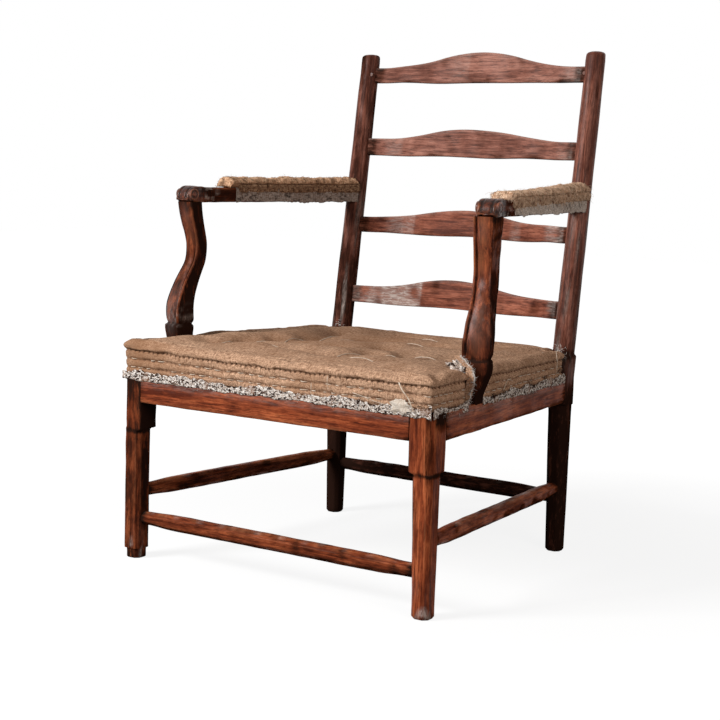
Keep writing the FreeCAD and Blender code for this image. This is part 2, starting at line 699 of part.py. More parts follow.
front_legs = {side: front_leg(side) for side, _ in SIDES}
back_posts = {side: back_post(side) for side, _ in SIDES}
leg_tools = {side: [] for side, _ in SIDES}
post_tools = {side: [] for side, _ in SIDES}
rails = {
    "front_seat_rail": cross_rail("FrontRail", HALF_FRONT - S.leg_head, FRONT_TENON, FRONT),
    "back_seat_rail": cross_rail("BackRail", HALF_BACK - S.back_block, BACK_TENON,
                                 BACK - S.rail_thickness)}
rail_tools = {label: [] for label in rails}
all_rail_pegs = []
for side, word in SIDES:
    leg_sockets, post_sockets = rail_mortises(side)
    leg_pegs, post_pegs = rail_pegs(side, term(0))
    leg_holes, post_holes = rail_pegs(side, S.joint_gap)
    all_rail_pegs += leg_pegs + post_pegs
    leg_tools[side] += leg_sockets + leg_holes
    post_tools[side] += post_sockets + post_holes
    rail_tools["front_seat_rail"].append(leg_holes[0])
    rail_tools["back_seat_rail"].append(post_holes[0])
    rails["side_rail_" + word] = side_rail(side)
    rail_tools["side_rail_" + word] = [leg_holes[1], post_holes[1], tongue(side, S.joint_gap)]
    rail_tools["side_rail_" + word] += support_nails(side, S.joint_gap)
for label, rail in rails.items():
    node(cut("Rail", rail, rail_tools[label]), label)
node(group("RailPegs", all_rail_pegs), "rail_pegs")

shank_middle = S.shank_inset + S.shank_width / 2
leg_foot = {side: ((HALF_FRONT - shank_middle) * side, FRONT + shank_middle) for side, _ in SIDES}
post_foot = {side: (POST_X * side, POST_Y) for side, _ in SIDES}
bars = [
    ("front_stretcher", leg_foot, LEFT, leg_foot, RIGHT, S.front_stretcher_height),
    ("back_stretcher", post_foot, LEFT, post_foot, RIGHT, S.back_stretcher_height),
    ("side_stretcher_left", leg_foot, LEFT, post_foot, LEFT, S.side_stretcher_height),
    ("side_stretcher_right", leg_foot, RIGHT, post_foot, RIGHT, S.side_stretcher_height)]
for label, start_feet, start_side, end_feet, end_side, height in bars:
    wood, tools = {}, {}
    for feet, side in ((start_feet, start_side), (end_feet, end_side)):
        is_leg = feet is leg_foot
        wood[is_leg, side] = front_legs[side] if is_leg else back_posts[side]
        tools[is_leg, side] = leg_tools[side] if is_leg else post_tools[side]
    bar, mortise = stretcher("Stretcher", start_feet[start_side], end_feet[end_side], height,
                             list(wood.values()))
    for tool_list in tools.values():
        tool_list.append(mortise)
    node(bar, label)

peg_holes = slat_pegs(S.joint_gap)
for word in ("top", "upper", "lower", "bottom"):
    end, crest = (getattr(S, f"{word}_slat_{size}") for size in ("end", "crest"))
    slot = slat("SlatSlot", slat_bottom(word), end, crest, S.joint_gap)
    blank = slat("SlatBlank", slat_bottom(word), end, crest, term(0))
    node(cut("Slat", blank, peg_holes) if word == "top" else blank, word + "_slat")
    for side, _ in SIDES:
        post_tools[side].append(slot)
for (side, _), hole in zip(SIDES, peg_holes):
    post_tools[side].append(hole)
node(group("SlatPegs", slat_pegs(term(0))), "slat_pegs")

arm_nails = []
support_nail_group = []
supports = {}
for side, word in SIDES:
    gap = S.joint_gap
    tenon_start = ARM_LENGTH - S.post_seat_diameter
    tenon_stop = ARM_LENGTH + S.arm_tenon_length / 4
    saddle = cut("ArmSaddle", arm_blank(side), [back_posts[side]])
    tenon = arm_rod("ArmTenon", side, S.arm_tenon / 2, tenon_start, tenon_stop)
    pin_hole = rod("ArmPinHole", "XY_Plane", ARM_X * side, ARM_Y, S.arm_tenon / 2 + gap,
                   S.arm_height - gap, S.arm_height + S.arm_tenon_length + gap)
    nail_hole = arm_nail(side, gap, S.nail_head_depth * 3)
    node(cut("Arm", combine("Fuse", "ArmWhole", saddle, tenon), [pin_hole, nail_hole]),
         "arm_" + word)
    post_tools[side] += [nail_hole, arm_rod("ArmMortise", side, S.arm_tenon / 2 + gap,
                                             tenon_start, tenon_stop + gap)]
    arm_nails.append(arm_nail(side, term(0), S.nail_head_depth))
    support_nail_group += support_nails(side, term(0))
    supports[side] = arm_support(side)
    node(cut("Support", supports[side], support_nails(side, gap)), "arm_support_" + word)
node(group("ArmNails", arm_nails), "arm_nails")
node(group("SupportNails", support_nail_group), "support_nails")
for side, word in SIDES:
    node(cut("Leg", front_legs[side], leg_tools[side]), "front_leg_" + word)
    node(cut("Post", back_posts[side], post_tools[side]), "back_post_" + word)


# Soft pieces read the sheet's values directly

V = SimpleNamespace(**{name: value.value for name, value in vars(S).items()})


def solid_piece(name, shape):
    piece = doc.addObject("Part::Feature", name)
    piece.Shape = shape
    piece.Placement = Placement()
    return piece


FLAT = 0.001


def rail_side(y):
    """Half width of the seat frame at a place in its depth."""
    return HALF_FRONT.value - SPLAY.value * (y - HEAD_BACK.value)


def flat_face(face):
    """A plane in place of a face between straight edges that all lie in one plane; others stay."""
    points = [vertex.Point for vertex in face.OuterWire.OrderedVertexes]
    outline = Part.makePolygon(points + points[:1])
    straight = abs(outline.Length - face.OuterWire.Length) < FLAT
    return Part.Face(outline) if straight and face.findPlane(FLAT) else face


def ruled_solid(wires):
    """Ruled loft through wires, with its flat faces made planes."""
    shell = Part.Shell([flat_face(face) for face in Part.makeLoft(wires, True, True).Faces])
    shell.sewShape()
    return Part.Solid(shell)


def web_strip(line, z_under, crossings, first_over, across):
    """One interlaced strip: its middle line steps over and under the strips that it crosses.

    line is (start, stop) along the strip, crossings the middles of the strips that it meets, and
    across the pair of edges sideways. Returns a solid along x, for the caller to turn.
    """
    thick, half = V.web_thickness, V.web_width / 2
    stations = [(line[0], 0.0)]
    for index, middle in enumerate(crossings):
        lift = thick + V.web_slack if (index % 2 == 0) == first_over else 0.0
        stations += [(middle - half, lift), (middle + half, lift)]
    stations.append((line[1], 0.0))
    under = [Vector(x, across[0], z_under + lift) for x, lift in stations]
    over = [point + Vector(0, 0, thick) for point in reversed(under)]
    face = Part.Face(Part.makePolygon(under + over + under[:1]))
    return face.extrude(Vector(0, across[1] - across[0], 0))


def webbing():
    """Five strips each way, laced over and under each other on top of the rails."""
    strip_count = 5
    front, back, splay = FRONT.value, BACK.value, SPLAY.value
    inside = V.rail_thickness
    width_step = 2 * (HALF_BACK.value - V.back_block - V.soft_gap) / strip_count
    depth_step = (V.seat_depth - 2 * inside - V.web_width / 2) / strip_count
    columns = [(index - (strip_count - 1) / 2) * width_step for index in range(strip_count)]
    rows = [front + inside + V.web_width / 4 + depth_step * (index + 0.5)
            for index in range(strip_count)]
    z = RAIL_TOP.value + V.web_slack / 2
    half = V.web_width / 2
    lengthwise, crosswise = [], []
    for index, middle in enumerate(columns):
        piece = web_strip((front + V.web_margin, back - V.web_margin), z, rows, index % 2 == 0,
                          (-middle - half, -middle + half))
        lengthwise.append(piece.rotated(Vector(), Vector(0, 0, 1), 90))
    for index, middle in enumerate(rows):
        end = rail_side(middle + half) - V.web_margin - V.tongue_thickness
        crosswise.append(web_strip((-end, end), z, columns, index % 2 == 1,
                                   (middle - half, middle + half)))
    return Part.makeCompound(lengthwise), Part.makeCompound(crosswise)


def seat_corners(inset):
    """Corners of the seat frame's outline, moved in by an inset, in order round it."""
    slant = inset * math.sqrt(1 + SPLAY.value ** 2)
    y_front, y_back = FRONT.value + inset, BACK.value - inset
    x_front, x_back = (rail_side(y) - slant for y in (y_front, y_back))
    return [Vector(-x_front, y_front, 0), Vector(x_front, y_front, 0),
            Vector(x_back, y_back, 0), Vector(-x_back, y_back, 0)]


def rounded_wire(corners, radius, z):
    """Closed outline at a height, with each corner rounded by a few short flats."""
    flat_count, points = 3, []
    for index, corner in enumerate(corners):
        before = (corners[index - 1] - corner).normalize()
        after = (corners[(index + 1) % len(corners)] - corner).normalize()
        half_angle = before.getAngle(after) / 2
        middle = corner + (before + after).normalize() * (radius / math.sin(half_angle))
        start = corner + before * (radius / math.tan(half_angle)) - middle
        for step in range(flat_count + 1):
            turn = math.degrees(math.pi - 2 * half_angle) * step / flat_count
            points.append(middle + Rotation(Vector(0, 0, 1), turn).multVec(start) + Vector(0, 0, z))
    return Part.makePolygon(points + points[:1])


def pad_loft(levels):
    """Solid through outlines of the seat frame, each given as a height and an inset."""
    wires = [rounded_wire(seat_corners(V.pad_inset + inset), V.pad_corner, height)
             for height, inset in levels]
    return ruled_solid(wires)


def pad_top(skin):
    """Levels over the edge roll, the dip behind it and the crown, a skin below the surface."""
    top = PAD_BOTTOM.value + V.pad_height - skin
    levels = [(top, V.roll_height * 0.6 + skin), (top - V.row_depth / 2, V.roll_height * 1.8)]
    return levels + [(top + V.crown_rise * share, V.roll_height * inward)
                     for share, inward in ((0.6, 5.5), (1.0, 11))]


def stitched_form():
    """Outside of the stuffed seat: stitched rows up the sides, an edge roll, a crowned top."""
    row_count = 3
    bottom, top = PAD_BOTTOM.value, PAD_BOTTOM.value + V.pad_height
    row_height = (V.pad_height - V.roll_height) / row_count
    levels = [(bottom, V.row_depth)]
    for row in range(row_count):
        start = bottom + row * row_height
        levels += [(start + row_height * 0.5, 0), (start + row_height, V.row_depth)]
    levels.append((top - V.roll_height * 0.5, 0))
    return pad_loft(levels + pad_top(0))


def stuffing_form():
    """The stuffing inside the scrim, drawn in as deep as the stitched grooves."""
    skin, sides = V.scrim_thickness, V.scrim_thickness + V.row_depth
    bottom, top = PAD_BOTTOM.value, PAD_BOTTOM.value + V.pad_height
    return pad_loft([(bottom, sides), (top - V.roll_height * 0.5, sides)] + pad_top(skin))


def tuft_points():
    """Staggered stuffing ties: rows of four and three over the crowned top."""
    row_count, places = 3, []
    depth, half = V.seat_depth, (HALF_FRONT.value + HALF_BACK.value) / 2
    for row in range(row_count):
        y = FRONT.value + depth * (0.26 + 0.25 * row)
        tie_count = 4 if row % 2 == 0 else 3
        for index in range(tie_count):
            places.append(Vector((index - (tie_count - 1) / 2) * half * 0.42, y, 0))
    return places


def tuft_dimples(skin):
    """Hollows that the ties draw into the top: eight folds that open upwards, a skin lower down."""
    low = PAD_BOTTOM.value + V.pad_height + V.crown_rise - V.tuft_depth - skin
    fold_count, hollows = 8, []
    for point in tuft_points():
        rings = []
        for radius, z in ((V.tuft_radius / 6, low), (V.tuft_radius * 2, low + V.tuft_depth * 2)):
            turns = [2 * math.pi * fold / fold_count for fold in range(fold_count)]
            ring = [point + Vector(radius * math.cos(turn), radius * math.sin(turn), z)
                    for turn in turns]
            rings.append(Part.makePolygon(ring + ring[:1]))
        hollows.append(ruled_solid(rings))
    return hollows


def seat_notches(gap):
    """Room for the posts, their blocks and the arm supports where they pass the seat pad."""
    rooms = []
    low, high = PAD_BOTTOM.value - 1, PAD_BOTTOM.value + V.pad_height * 2
    tall = Vector(0, 0, high - low)
    for side, _ in SIDES:
        x, half = POST_X.value * side, V.back_block / 2 + gap
        shift = V.block_rise * LEAN.value + V.back_block
        corner = Vector(x - half, POST_Y.value - half, low)
        rooms.append(Part.makeBox(2 * half, 2 * half + shift, tall.z, corner))
        support_half = V.plinth_depth / 2 + gap
        inner = ARM_X.value - V.plinth_width / 2 - gap
        y = ARM_Y.value - V.support_neck_forward
        points = [Vector(px * side, py, low) for px, py in (
            (inner, y - support_half), (inner + V.plinth_width * 3, y - support_half),
            (inner + V.plinth_width * 3, y + support_half), (inner, y + support_half))]
        rooms.append(Part.Face(Part.makePolygon(points + points[:1])).extrude(tall))
    return rooms


def seat_upholstery():
    """The stuffing, and the scrim that covers its sides and top."""
    notches = seat_notches(V.soft_gap)
    stuffing = stuffing_form().cut(tuft_dimples(V.scrim_thickness)).cut(notches)
    whole = stitched_form().cut(tuft_dimples(0)).cut(notches)
    return stuffing, whole.cut(stuffing)


def base_hessian():
    """Cloth on the webbing, cut short of the supports and round the post blocks."""
    inset = V.tongue_thickness + V.soft_gap
    corners = seat_corners(inset)
    x_block = HALF_BACK.value - V.back_block - V.soft_gap
    y_block = BLOCK_FRONT.value - V.soft_gap
    y_back = corners[2].y
    x_side = rail_side(y_block) - inset
    points = corners[:2] + [Vector(x_side, y_block, 0), Vector(x_block, y_block, 0),
                            Vector(x_block, y_back, 0), Vector(-x_block, y_back, 0),
                            Vector(-x_block, y_block, 0), Vector(-x_side, y_block, 0)]
    lift = Vector(0, 0, SEAT_PLANE.value)
    points = [point + lift for point in points]
    face = Part.Face(Part.makePolygon(points + points[:1]))
    return face.extrude(Vector(0, 0, V.hessian_thickness))


def edge_tape():
    """Torn tape along the rails: one strip in front, two down each side past the support."""
    low = RAIL_TOP.value - V.tape_lap
    thick, height = V.tape_thickness, Vector(0, 0, V.tape_height)
    front, half = FRONT.value, HALF_FRONT.value - V.head_chamfer
    pieces = [Part.makeBox(2 * half, thick, V.tape_height, Vector(-half, front - thick, low))]
    middle, room = ARM_Y.value - V.support_neck_forward, V.plinth_depth / 2 + V.soft_gap
    for side, _ in SIDES:
        spans = ((front + V.head_chamfer, middle - room),
                 (middle + room, BLOCK_FRONT.value - V.soft_gap))
        for start, stop in spans:
            line = [Vector(rail_side(max(y, HEAD_BACK.value)), y, low)
                    for y in (start, max(start, min(stop, HEAD_BACK.value)), stop)]
            line = [point for index, point in enumerate(line) if index == 0
                    or (point - line[index - 1]).Length > 1]
            inner = [Vector(point.x * side, point.y, low) for point in line]
            outer = [point + Vector(thick * side, 0, 0) for point in reversed(inner)]
            face = Part.Face(Part.makePolygon(inner + outer + inner[:1]))
            pieces.append(face.extrude(height))
    return Part.makeCompound(pieces)


def arm_frame(side):
    turn = bearing(ARM_RUN_X * -side, ARM_RUN_Y).value
    place_at = Vector(ARM_X.value * side, ARM_Y.value, V.arm_height)
    return Placement(place_at, Rotation(Vector(0, 0, 1), turn))


def arm_width_at(y):
    """Width of the tapered arm at a distance from its support."""
    front = V.nose_crown - V.support_top_depth / 2 - V.nose_overhang
    share = (y - front) / (ARM_LENGTH.value - front)
    return V.arm_width + (V.arm_back_width - V.arm_width) * share


def arm_canvas():
    """Canvas folded over the arm: a thin channel along its sides and top."""
    stop = ARM_LENGTH.value - V.post_seat_diameter / 2 - V.soft_gap

    def channel(grow, top):
        wires = []
        for y in (V.canvas_setback, stop):
            half = arm_width_at(y) / 2 + grow
            points = [Vector(x, y, z) for x, z in (
                (-half, V.canvas_lift), (half, V.canvas_lift), (half, top), (-half, top))]
            wires.append(Part.makePolygon(points + points[:1]))
        return ruled_solid(wires)

    outer = channel(V.canvas_thickness, V.arm_thickness + V.canvas_thickness)
    return outer.cut(channel(0, V.arm_thickness))


def arm_pad():
    """Stuffed roll on the canvas: drawn in at its foot, round on top, rounded front end."""
    bottom = V.arm_thickness + V.canvas_thickness
    start = V.arm_pad_setback
    stop = ARM_LENGTH.value - V.post_seat_diameter / 2 - V.soft_gap
    flat_count, wires = 6, []
    for y, share in ((start, 0.62), (start + V.arm_pad_height * 0.35, 0.9),
                     (start + V.arm_pad_height * 1.2, 1.0), (stop - V.arm_pad_height, 1.0),
                     (stop, 0.9)):
        half, top = V.arm_pad_width / 2 * share, V.arm_pad_height * share
        foot, low = half - V.arm_pad_draw, bottom + top * 0.4
        turns = [math.pi * flat / flat_count for flat in range(flat_count + 1)]
        points = [Vector(-foot, y, bottom), Vector(foot, y, bottom)]
        points += [Vector(half * math.cos(turn), y, low + top * 0.6 * math.sin(turn))
                   for turn in turns]
        wires.append(Part.makePolygon(points + points[:1]))
    return ruled_solid(wires)


strips_lengthwise, strips_crosswise = webbing()
node(solid_piece("WebbingLengthwise", strips_lengthwise), "webbing_lengthwise")
node(solid_piece("WebbingCrosswise", strips_crosswise), "webbing_crosswise")
node(solid_piece("BaseHessian", base_hessian()), "base_hessian")
stuffing_shape, scrim_shape = seat_upholstery()
node(solid_piece("SeatStuffing", stuffing_shape), "seat_stuffing")
node(solid_piece("SeatScrim", scrim_shape), "seat_scrim")
node(solid_piece("EdgeTape", edge_tape()), "edge_tape")
for side, word in SIDES:
    for name, shape in (("arm_canvas_", arm_canvas()), ("arm_pad_", arm_pad())):
        piece = solid_piece("ArmCover", shape)
        piece.Placement = arm_frame(side)
        node(piece, name + word)

doc.recompute()
failed = [thing.Name for thing in doc.Objects if {"Invalid", "Error"} & set(thing.State)]
failed += [piece.Label for piece in NODES
           if piece.Shape.isNull() or not piece.Shape.isValid() or not piece.Shape.Solids]
if failed:
    raise RuntimeError("These did not build: " + ", ".join(failed))
os.makedirs("parts", exist_ok=True)
for piece in NODES:
    piece.Shape.exportStep(f"parts/{piece.Label}.step")
print(len(NODES), "nodes")
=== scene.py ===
"""Looks of a worn rococo armchair, stripped to its stuffed hessian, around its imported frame."""

import bpy
import numpy as np
from mathutils import Matrix, Vector
from mathutils.bvhtree import BVHTree


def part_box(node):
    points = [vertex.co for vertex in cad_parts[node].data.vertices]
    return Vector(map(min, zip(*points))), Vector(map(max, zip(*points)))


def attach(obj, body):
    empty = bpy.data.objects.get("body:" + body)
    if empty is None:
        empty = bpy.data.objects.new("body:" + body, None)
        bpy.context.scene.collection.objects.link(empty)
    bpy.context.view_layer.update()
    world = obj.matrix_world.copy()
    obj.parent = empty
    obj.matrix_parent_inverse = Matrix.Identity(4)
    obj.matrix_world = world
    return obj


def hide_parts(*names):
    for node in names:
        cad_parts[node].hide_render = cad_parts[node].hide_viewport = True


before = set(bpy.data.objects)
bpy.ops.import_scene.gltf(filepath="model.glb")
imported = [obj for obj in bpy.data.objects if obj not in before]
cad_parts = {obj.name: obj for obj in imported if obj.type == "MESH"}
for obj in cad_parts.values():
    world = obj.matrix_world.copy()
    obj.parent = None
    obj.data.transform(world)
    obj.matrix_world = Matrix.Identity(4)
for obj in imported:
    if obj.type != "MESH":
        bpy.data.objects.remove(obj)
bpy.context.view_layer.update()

MM = 0.001
SIDES = (("left", -1), ("right", 1))
X, Y, Z = np.eye(3)

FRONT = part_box("front_seat_rail")[0].y
RAIL_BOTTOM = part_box("front_seat_rail")[0].z
RAIL_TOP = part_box("front_seat_rail")[1].z
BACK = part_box("back_seat_rail")[1].y
HALF_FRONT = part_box("front_leg_right")[1].x
POST_X = 0.264
POST_Y = 0.23835
LEAN = 0.14856
HEAD_BACK = FRONT + 46 * MM
BLOCK_FRONT = BACK - 44 * MM
SPLAY = 0.104
ARM_X = 0.332
ARM_Y = -0.17365
ARM_Z = 0.662
PAD_BOTTOM = RAIL_TOP + 4.4 * MM


def side_x(y):
    """The x of the seat frame's outer right face at depth y."""
    return HALF_FRONT - SPLAY * (np.maximum(y, HEAD_BACK) - HEAD_BACK)


def ease(value, low, high):
    """A smooth step from 0 at low to 1 at high."""
    t = np.clip((value - low) / (high - low), 0, 1)
    return t * t * (3 - 2 * t)


def bell(value, middle, width):
    """A smooth bump of height 1 at middle, gone about two widths away."""
    return np.exp(-((value - middle) / width) ** 2)


WAVES = 7


def ripple(points, wavelength, seed):
    """Smooth noise about -1..1: a sum of sine waves with seeded directions and phases."""
    dice = np.random.default_rng(seed)
    way = dice.normal(size=(WAVES, points.shape[-1]))
    way /= np.linalg.norm(way, axis=1, keepdims=True)
    pace = 2 * np.pi / (wavelength * dice.uniform(0.6, 1.6, WAVES))
    turn = points @ (way * pace[:, None]).T + dice.uniform(0, 2 * np.pi, WAVES)
    return np.sin(turn).sum(axis=-1) / np.sqrt(WAVES)


def unit(vectors):
    """The vectors at length 1."""
    return vectors / np.maximum(np.linalg.norm(vectors, axis=-1, keepdims=True), 1e-12)


def walked_along(line):
    """The length walked along a line at each of its points."""
    return np.concatenate([[0], np.cumsum(np.linalg.norm(np.diff(line, axis=0), axis=1))])


def between(at, places, line):
    """Flat points at given places, between a line's own points."""
    return np.stack([np.interp(at, places, line[:, k]) for k in (0, 1)], axis=-1)


def put_mesh(name, points, faces, material, slot, replaces=(), marks=None, sharp=None):
    """A mesh object from points and a list of face arrays, with named values at its points."""
    mesh = bpy.data.meshes.new(name)
    sizes = np.concatenate([np.full(len(f), f.shape[1]) for f in faces])
    corners = np.concatenate([f.ravel() for f in faces]).astype(np.int32)
    mesh.vertices.add(len(points))
    mesh.vertices.foreach_set("co", points.astype(np.float32).ravel())
    mesh.loops.add(len(corners))
    mesh.loops.foreach_set("vertex_index", corners)
    mesh.polygons.add(len(sizes))
    starts = np.concatenate([[0], np.cumsum(sizes)[:-1]]).astype(np.int32)
    mesh.polygons.foreach_set("loop_start", starts)
    mesh.update(calc_edges=True)
    mesh.validate()
    mesh.polygons.foreach_set("use_smooth", np.ones(len(sizes), dtype=bool))
    if sharp:
        mesh.set_sharp_from_angle(angle=np.radians(sharp))
    for word, values in (marks or {}).items():
        flat = np.asarray(values, dtype=np.float32)
        kind = "FLOAT_VECTOR" if flat.ndim == 2 else "FLOAT"
        held = mesh.attributes.new(word, kind, "POINT")
        held.data.foreach_set("vector" if flat.ndim == 2 else "value", flat.ravel())
    mesh.materials.append(material)
    piece = bpy.data.objects.new(name, mesh)
    bpy.context.scene.collection.objects.link(piece)
    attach(piece, "root")
    if replaces:
        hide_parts(*replaces)
    return piece


def skin_faces(rows, columns, first=0):
    """The four-cornered faces of a tube of rings, rings counted along its axis."""
    index = first + np.arange(rows * columns).reshape(rows, columns)
    beside = np.roll(index, -1, axis=1)
    return np.stack([index[:-1], beside[:-1], beside[1:], index[1:]], axis=-1).reshape(-1, 4)


def closed_skin(rings):
    """Points and faces of a tube of rings closed at both ends by a fan to the ring's middle."""
    rows, columns = rings.shape[:2]
    points = np.concatenate([rings.reshape(-1, 3), rings[0].mean(axis=0)[None], rings[-1].mean(axis=0)[None]])
    low, high = rows * columns, rows * columns + 1
    first = np.arange(columns)
    last = first + (rows - 1) * columns
    start = np.stack([np.full(columns, low), np.roll(first, -1), first], axis=-1)
    stop = np.stack([np.full(columns, high), last, np.roll(last, -1)], axis=-1)
    return points, [skin_faces(rows, columns), start, stop]


def joined(skins):
    """Points and faces of several closed skins as one."""
    starts = np.cumsum([0] + [len(points) for points, _ in skins])
    faces = [np.concatenate([f[k] + start for (_, f), start in zip(skins, starts)]) for k in range(3)]
    return np.concatenate([points for points, _ in skins]), faces


def folded(front, back):
    """A sheet's two faces as one ring of columns: the front's, then the back's in reverse."""
    return np.concatenate([front, back[:, ::-1]], axis=1)


def flat_grid(around, along):
    """Cloth places of rings, from the ways around and along them."""
    return np.stack(np.broadcast_arrays(around[None], along[:, None]), axis=-1)


def add_weave(piece, flat):
    """The piece's weave map: cloth places in metres at its points, handed to its face corners."""
    mesh = piece.data
    corner = np.zeros(len(mesh.loops), dtype=np.int32)
    mesh.loops.foreach_get("vertex_index", corner)
    layer = mesh.uv_layers.new(name="weave")
    layer.data.foreach_set("uv", np.asarray(flat, np.float32)[corner].ravel())


def cloth_piece(name, rings, flat, flipped, material, slot, replaces=(), soot_and_shade=0.0, ends=((0, 0), (0, 0))):
    """A closed cloth from its rings. Its weave map has flat places for the rings and both end points. Its
    darkening mark holds real dirt and painted shade.
    """
    points, faces = closed_skin(rings)
    if flipped:
        faces = [f[:, ::-1] for f in faces]
    marks = {"soot_and_shade": np.broadcast_to(soot_and_shade, len(points))}
    piece = put_mesh(name, points, faces, material, slot, replaces, marks)
    add_weave(piece, np.concatenate([flat.reshape(-1, 2), ends]))
    return piece


def wood_piece(name, rings, wear, along, material, slot, seed, chalk=0.0, soot_and_shade=0.0, polish=0.0):
    """A wooden piece from its rings: grain runs along one axis; marks hold wear (with painted light on the
    right arm support), chalk, polish, and darkening from dirt and painted shade.
    """
    points, faces = closed_skin(rings)
    across = unit(np.cross(along, X if abs(along[0]) < 0.7 else Z))
    grain = np.stack([points @ across, points @ np.cross(along, across), points @ along], axis=-1)
    marks = {"grain": grain + np.random.default_rng(seed).uniform(-3, 3, 3)}
    for word, values in (("wear", wear), ("chalk", chalk), ("soot_and_shade", soot_and_shade), ("polish", polish)):
        held = np.broadcast_to(values, rings.shape[:2])
        marks[word] = np.concatenate([held.ravel(), [held[0].mean(), held[-1].mean()]])
    return put_mesh(f"{name}_skin", points, faces, material, slot, (name,), marks, sharp=50)


def dented(rings, middles, depth, wavelength, seed):
    """The rings with dents and swells of about the depth, outward from their middles."""
    out = unit(rings - middles[:, None])
    return rings + out * (depth * ripple(rings, wavelength, seed))[..., None]


EIGHT = np.arange(0, 360, 45)


def shaved_rings(middles, across, upward, reach, soft, columns, dents, seed):
    """Rings of a bar worked to eight flats, each reach from its axis; a high soft leaves crisp arrises:
    radius = (sum of (cos(angle - flat) / reach) ** soft) ** (-1 / soft)."""
    turn = np.linspace(0, 2 * np.pi, columns, endpoint=False)
    lean = np.maximum(np.cos(turn[:, None] - np.radians(EIGHT)[None]), 0)
    pull = (lean[None] / reach[:, None, :]) ** soft
    radius = pull.sum(axis=-1) ** (-1 / soft)
    ranked = np.sort(pull, axis=-1)
    wear = ranked[..., -2] / ranked[..., -1]
    rings = middles[:, None] + radius[..., None] * (
        np.cos(turn)[None, :, None] * across + np.sin(turn)[None, :, None] * upward)
    return dented(rings, middles, dents, 0.045, seed), wear


def box_ring(arc=4, long=2, short=2):
    """The plan of a rounded box's ring: corner signs, corner directions and how near a corner a point is."""
    signs, ways, worn = [], [], []
    corner = np.array([[1, 1], [-1, 1], [-1, -1], [1, -1]])
    for k in range(4):
        turn = np.radians(90 * k + np.linspace(0, 90, arc))
        signs += [corner[k]] * arc
        ways += list(np.stack([np.cos(turn), np.sin(turn)], axis=-1))
        worn += list(np.sin(np.linspace(0.25, np.pi - 0.25, arc)))
        count = long if k % 2 == 0 else short
        share = np.linspace(0, 1, count + 2)[1:-1, None]
        signs += list(corner[k] * (1 - share) + corner[(k + 1) % 4] * share)
        ways += [[np.cos(turn[-1]), np.sin(turn[-1])]] * count
        worn += [0.0] * count
    return np.array(signs, float), np.array(ways), np.array(worn)


def boxed_rings(middles, across, upward, half_width, half_height, radius, plan):
    """Rings of a bar with a rounded box section, sizes given for each ring."""
    signs, ways, worn = plan
    size = np.stack(np.broadcast_arrays(half_width, half_height), axis=-1)
    size = np.broadcast_to(size, (len(middles), 2))
    radius = np.broadcast_to(np.asarray(radius, float), len(middles))[:, None, None]
    flat = signs[None] * (size[:, None] - radius) + ways[None] * radius
    across = np.broadcast_to(across, middles.shape)[:, None]
    upward = np.broadcast_to(upward, middles.shape)[:, None]
    rings = middles[:, None] + flat[..., :1] * across + flat[..., 1:] * upward
    return rings, np.broadcast_to(worn, rings.shape[:2]).copy()


# Materials


def new_material(name):
    """A new material, a board for its nodes and its surface shader."""
    material = bpy.data.materials.new(name)
    material.use_nodes = True
    return material, Board(material.node_tree), material.node_tree.nodes["Principled BSDF"]


def shade(colour, share):
    """The colour made darker to a share of itself."""
    return tuple(share * part for part in colour)


class Board:
    """Short words for adding and joining shader nodes in one tree."""

    def __init__(self, tree):
        self.tree = tree

    def join(self, node, links):
        """Sets a node's inputs, each from a socket or a value."""
        for socket, source in links.items():
            if isinstance(source, bpy.types.NodeSocket):
                self.tree.links.new(source, node.inputs[socket])
            else:
                node.inputs[socket].default_value = source

    def add(self, kind, links=None, **values):
        node = self.tree.nodes.new(kind)
        for word, value in values.items():
            setattr(node, word, value)
        self.join(node, links or {})
        return node

    def mark(self, word, out="Fac"):
        return self.add("ShaderNodeAttribute", attribute_name=word).outputs[out]

    def place(self):
        return self.add("ShaderNodeTexCoord").outputs["Object"]

    def parts(self, vector):
        return self.add("ShaderNodeSeparateXYZ", {0: vector}).outputs

    def maths(self, operation, *sources, clamp=False):
        links = dict(enumerate(sources))
        return self.add("ShaderNodeMath", links, operation=operation, use_clamp=clamp).outputs[0]

    def times(self, first, second, clamp=False):
        return self.maths("MULTIPLY", first, second, clamp=clamp)

    def plus(self, first, second):
        return self.maths("ADD", first, second)

    def noise(self, vector, scale, detail=4.0, rough=0.6, bend=0.0):
        """Noise of one scale, or of a scale along each axis."""
        if isinstance(scale, tuple):
            vector = self.add("ShaderNodeMapping", {"Vector": vector, "Scale": scale}).outputs[0]
            scale = 1.0
        links = {"Vector": vector, "Scale": scale, "Detail": detail, "Roughness": rough, "Distortion": bend}
        return self.add("ShaderNodeTexNoise", links).outputs[0]

    def span(self, source, low, high, to_low=0.0, to_high=1.0):
        links = {0: source, 1: low, 2: high, 3: to_low, 4: to_high}
        return self.add("ShaderNodeMapRange", links, interpolation_type="SMOOTHSTEP").outputs[0]

    def ramp(self, source, stops):
        node = self.add("ShaderNodeValToRGB", {0: source})
        band = node.color_ramp.elements
        while len(band) < len(stops):
            band.new(0.5)
        for held, (place, colour) in zip(band, stops):
            held.position = place
            held.color = (*colour, 1)
        return node.outputs[0]

    def blend(self, share, first, second):
        """The first colour, covered by the second colour as far as the share says."""
        node = self.add("ShaderNodeMix", data_type="RGBA")
        self.join(node, {0: share, 6: first, 7: (*second, 1)})
        return node.outputs[2]

    def bump(self, height, strength, distance, normal=None):
        links = {"Height": height, "Strength": strength, "Distance": distance}
        if normal is not None:
            links["Normal"] = normal
        return self.add("ShaderNodeBump", links).outputs[0]


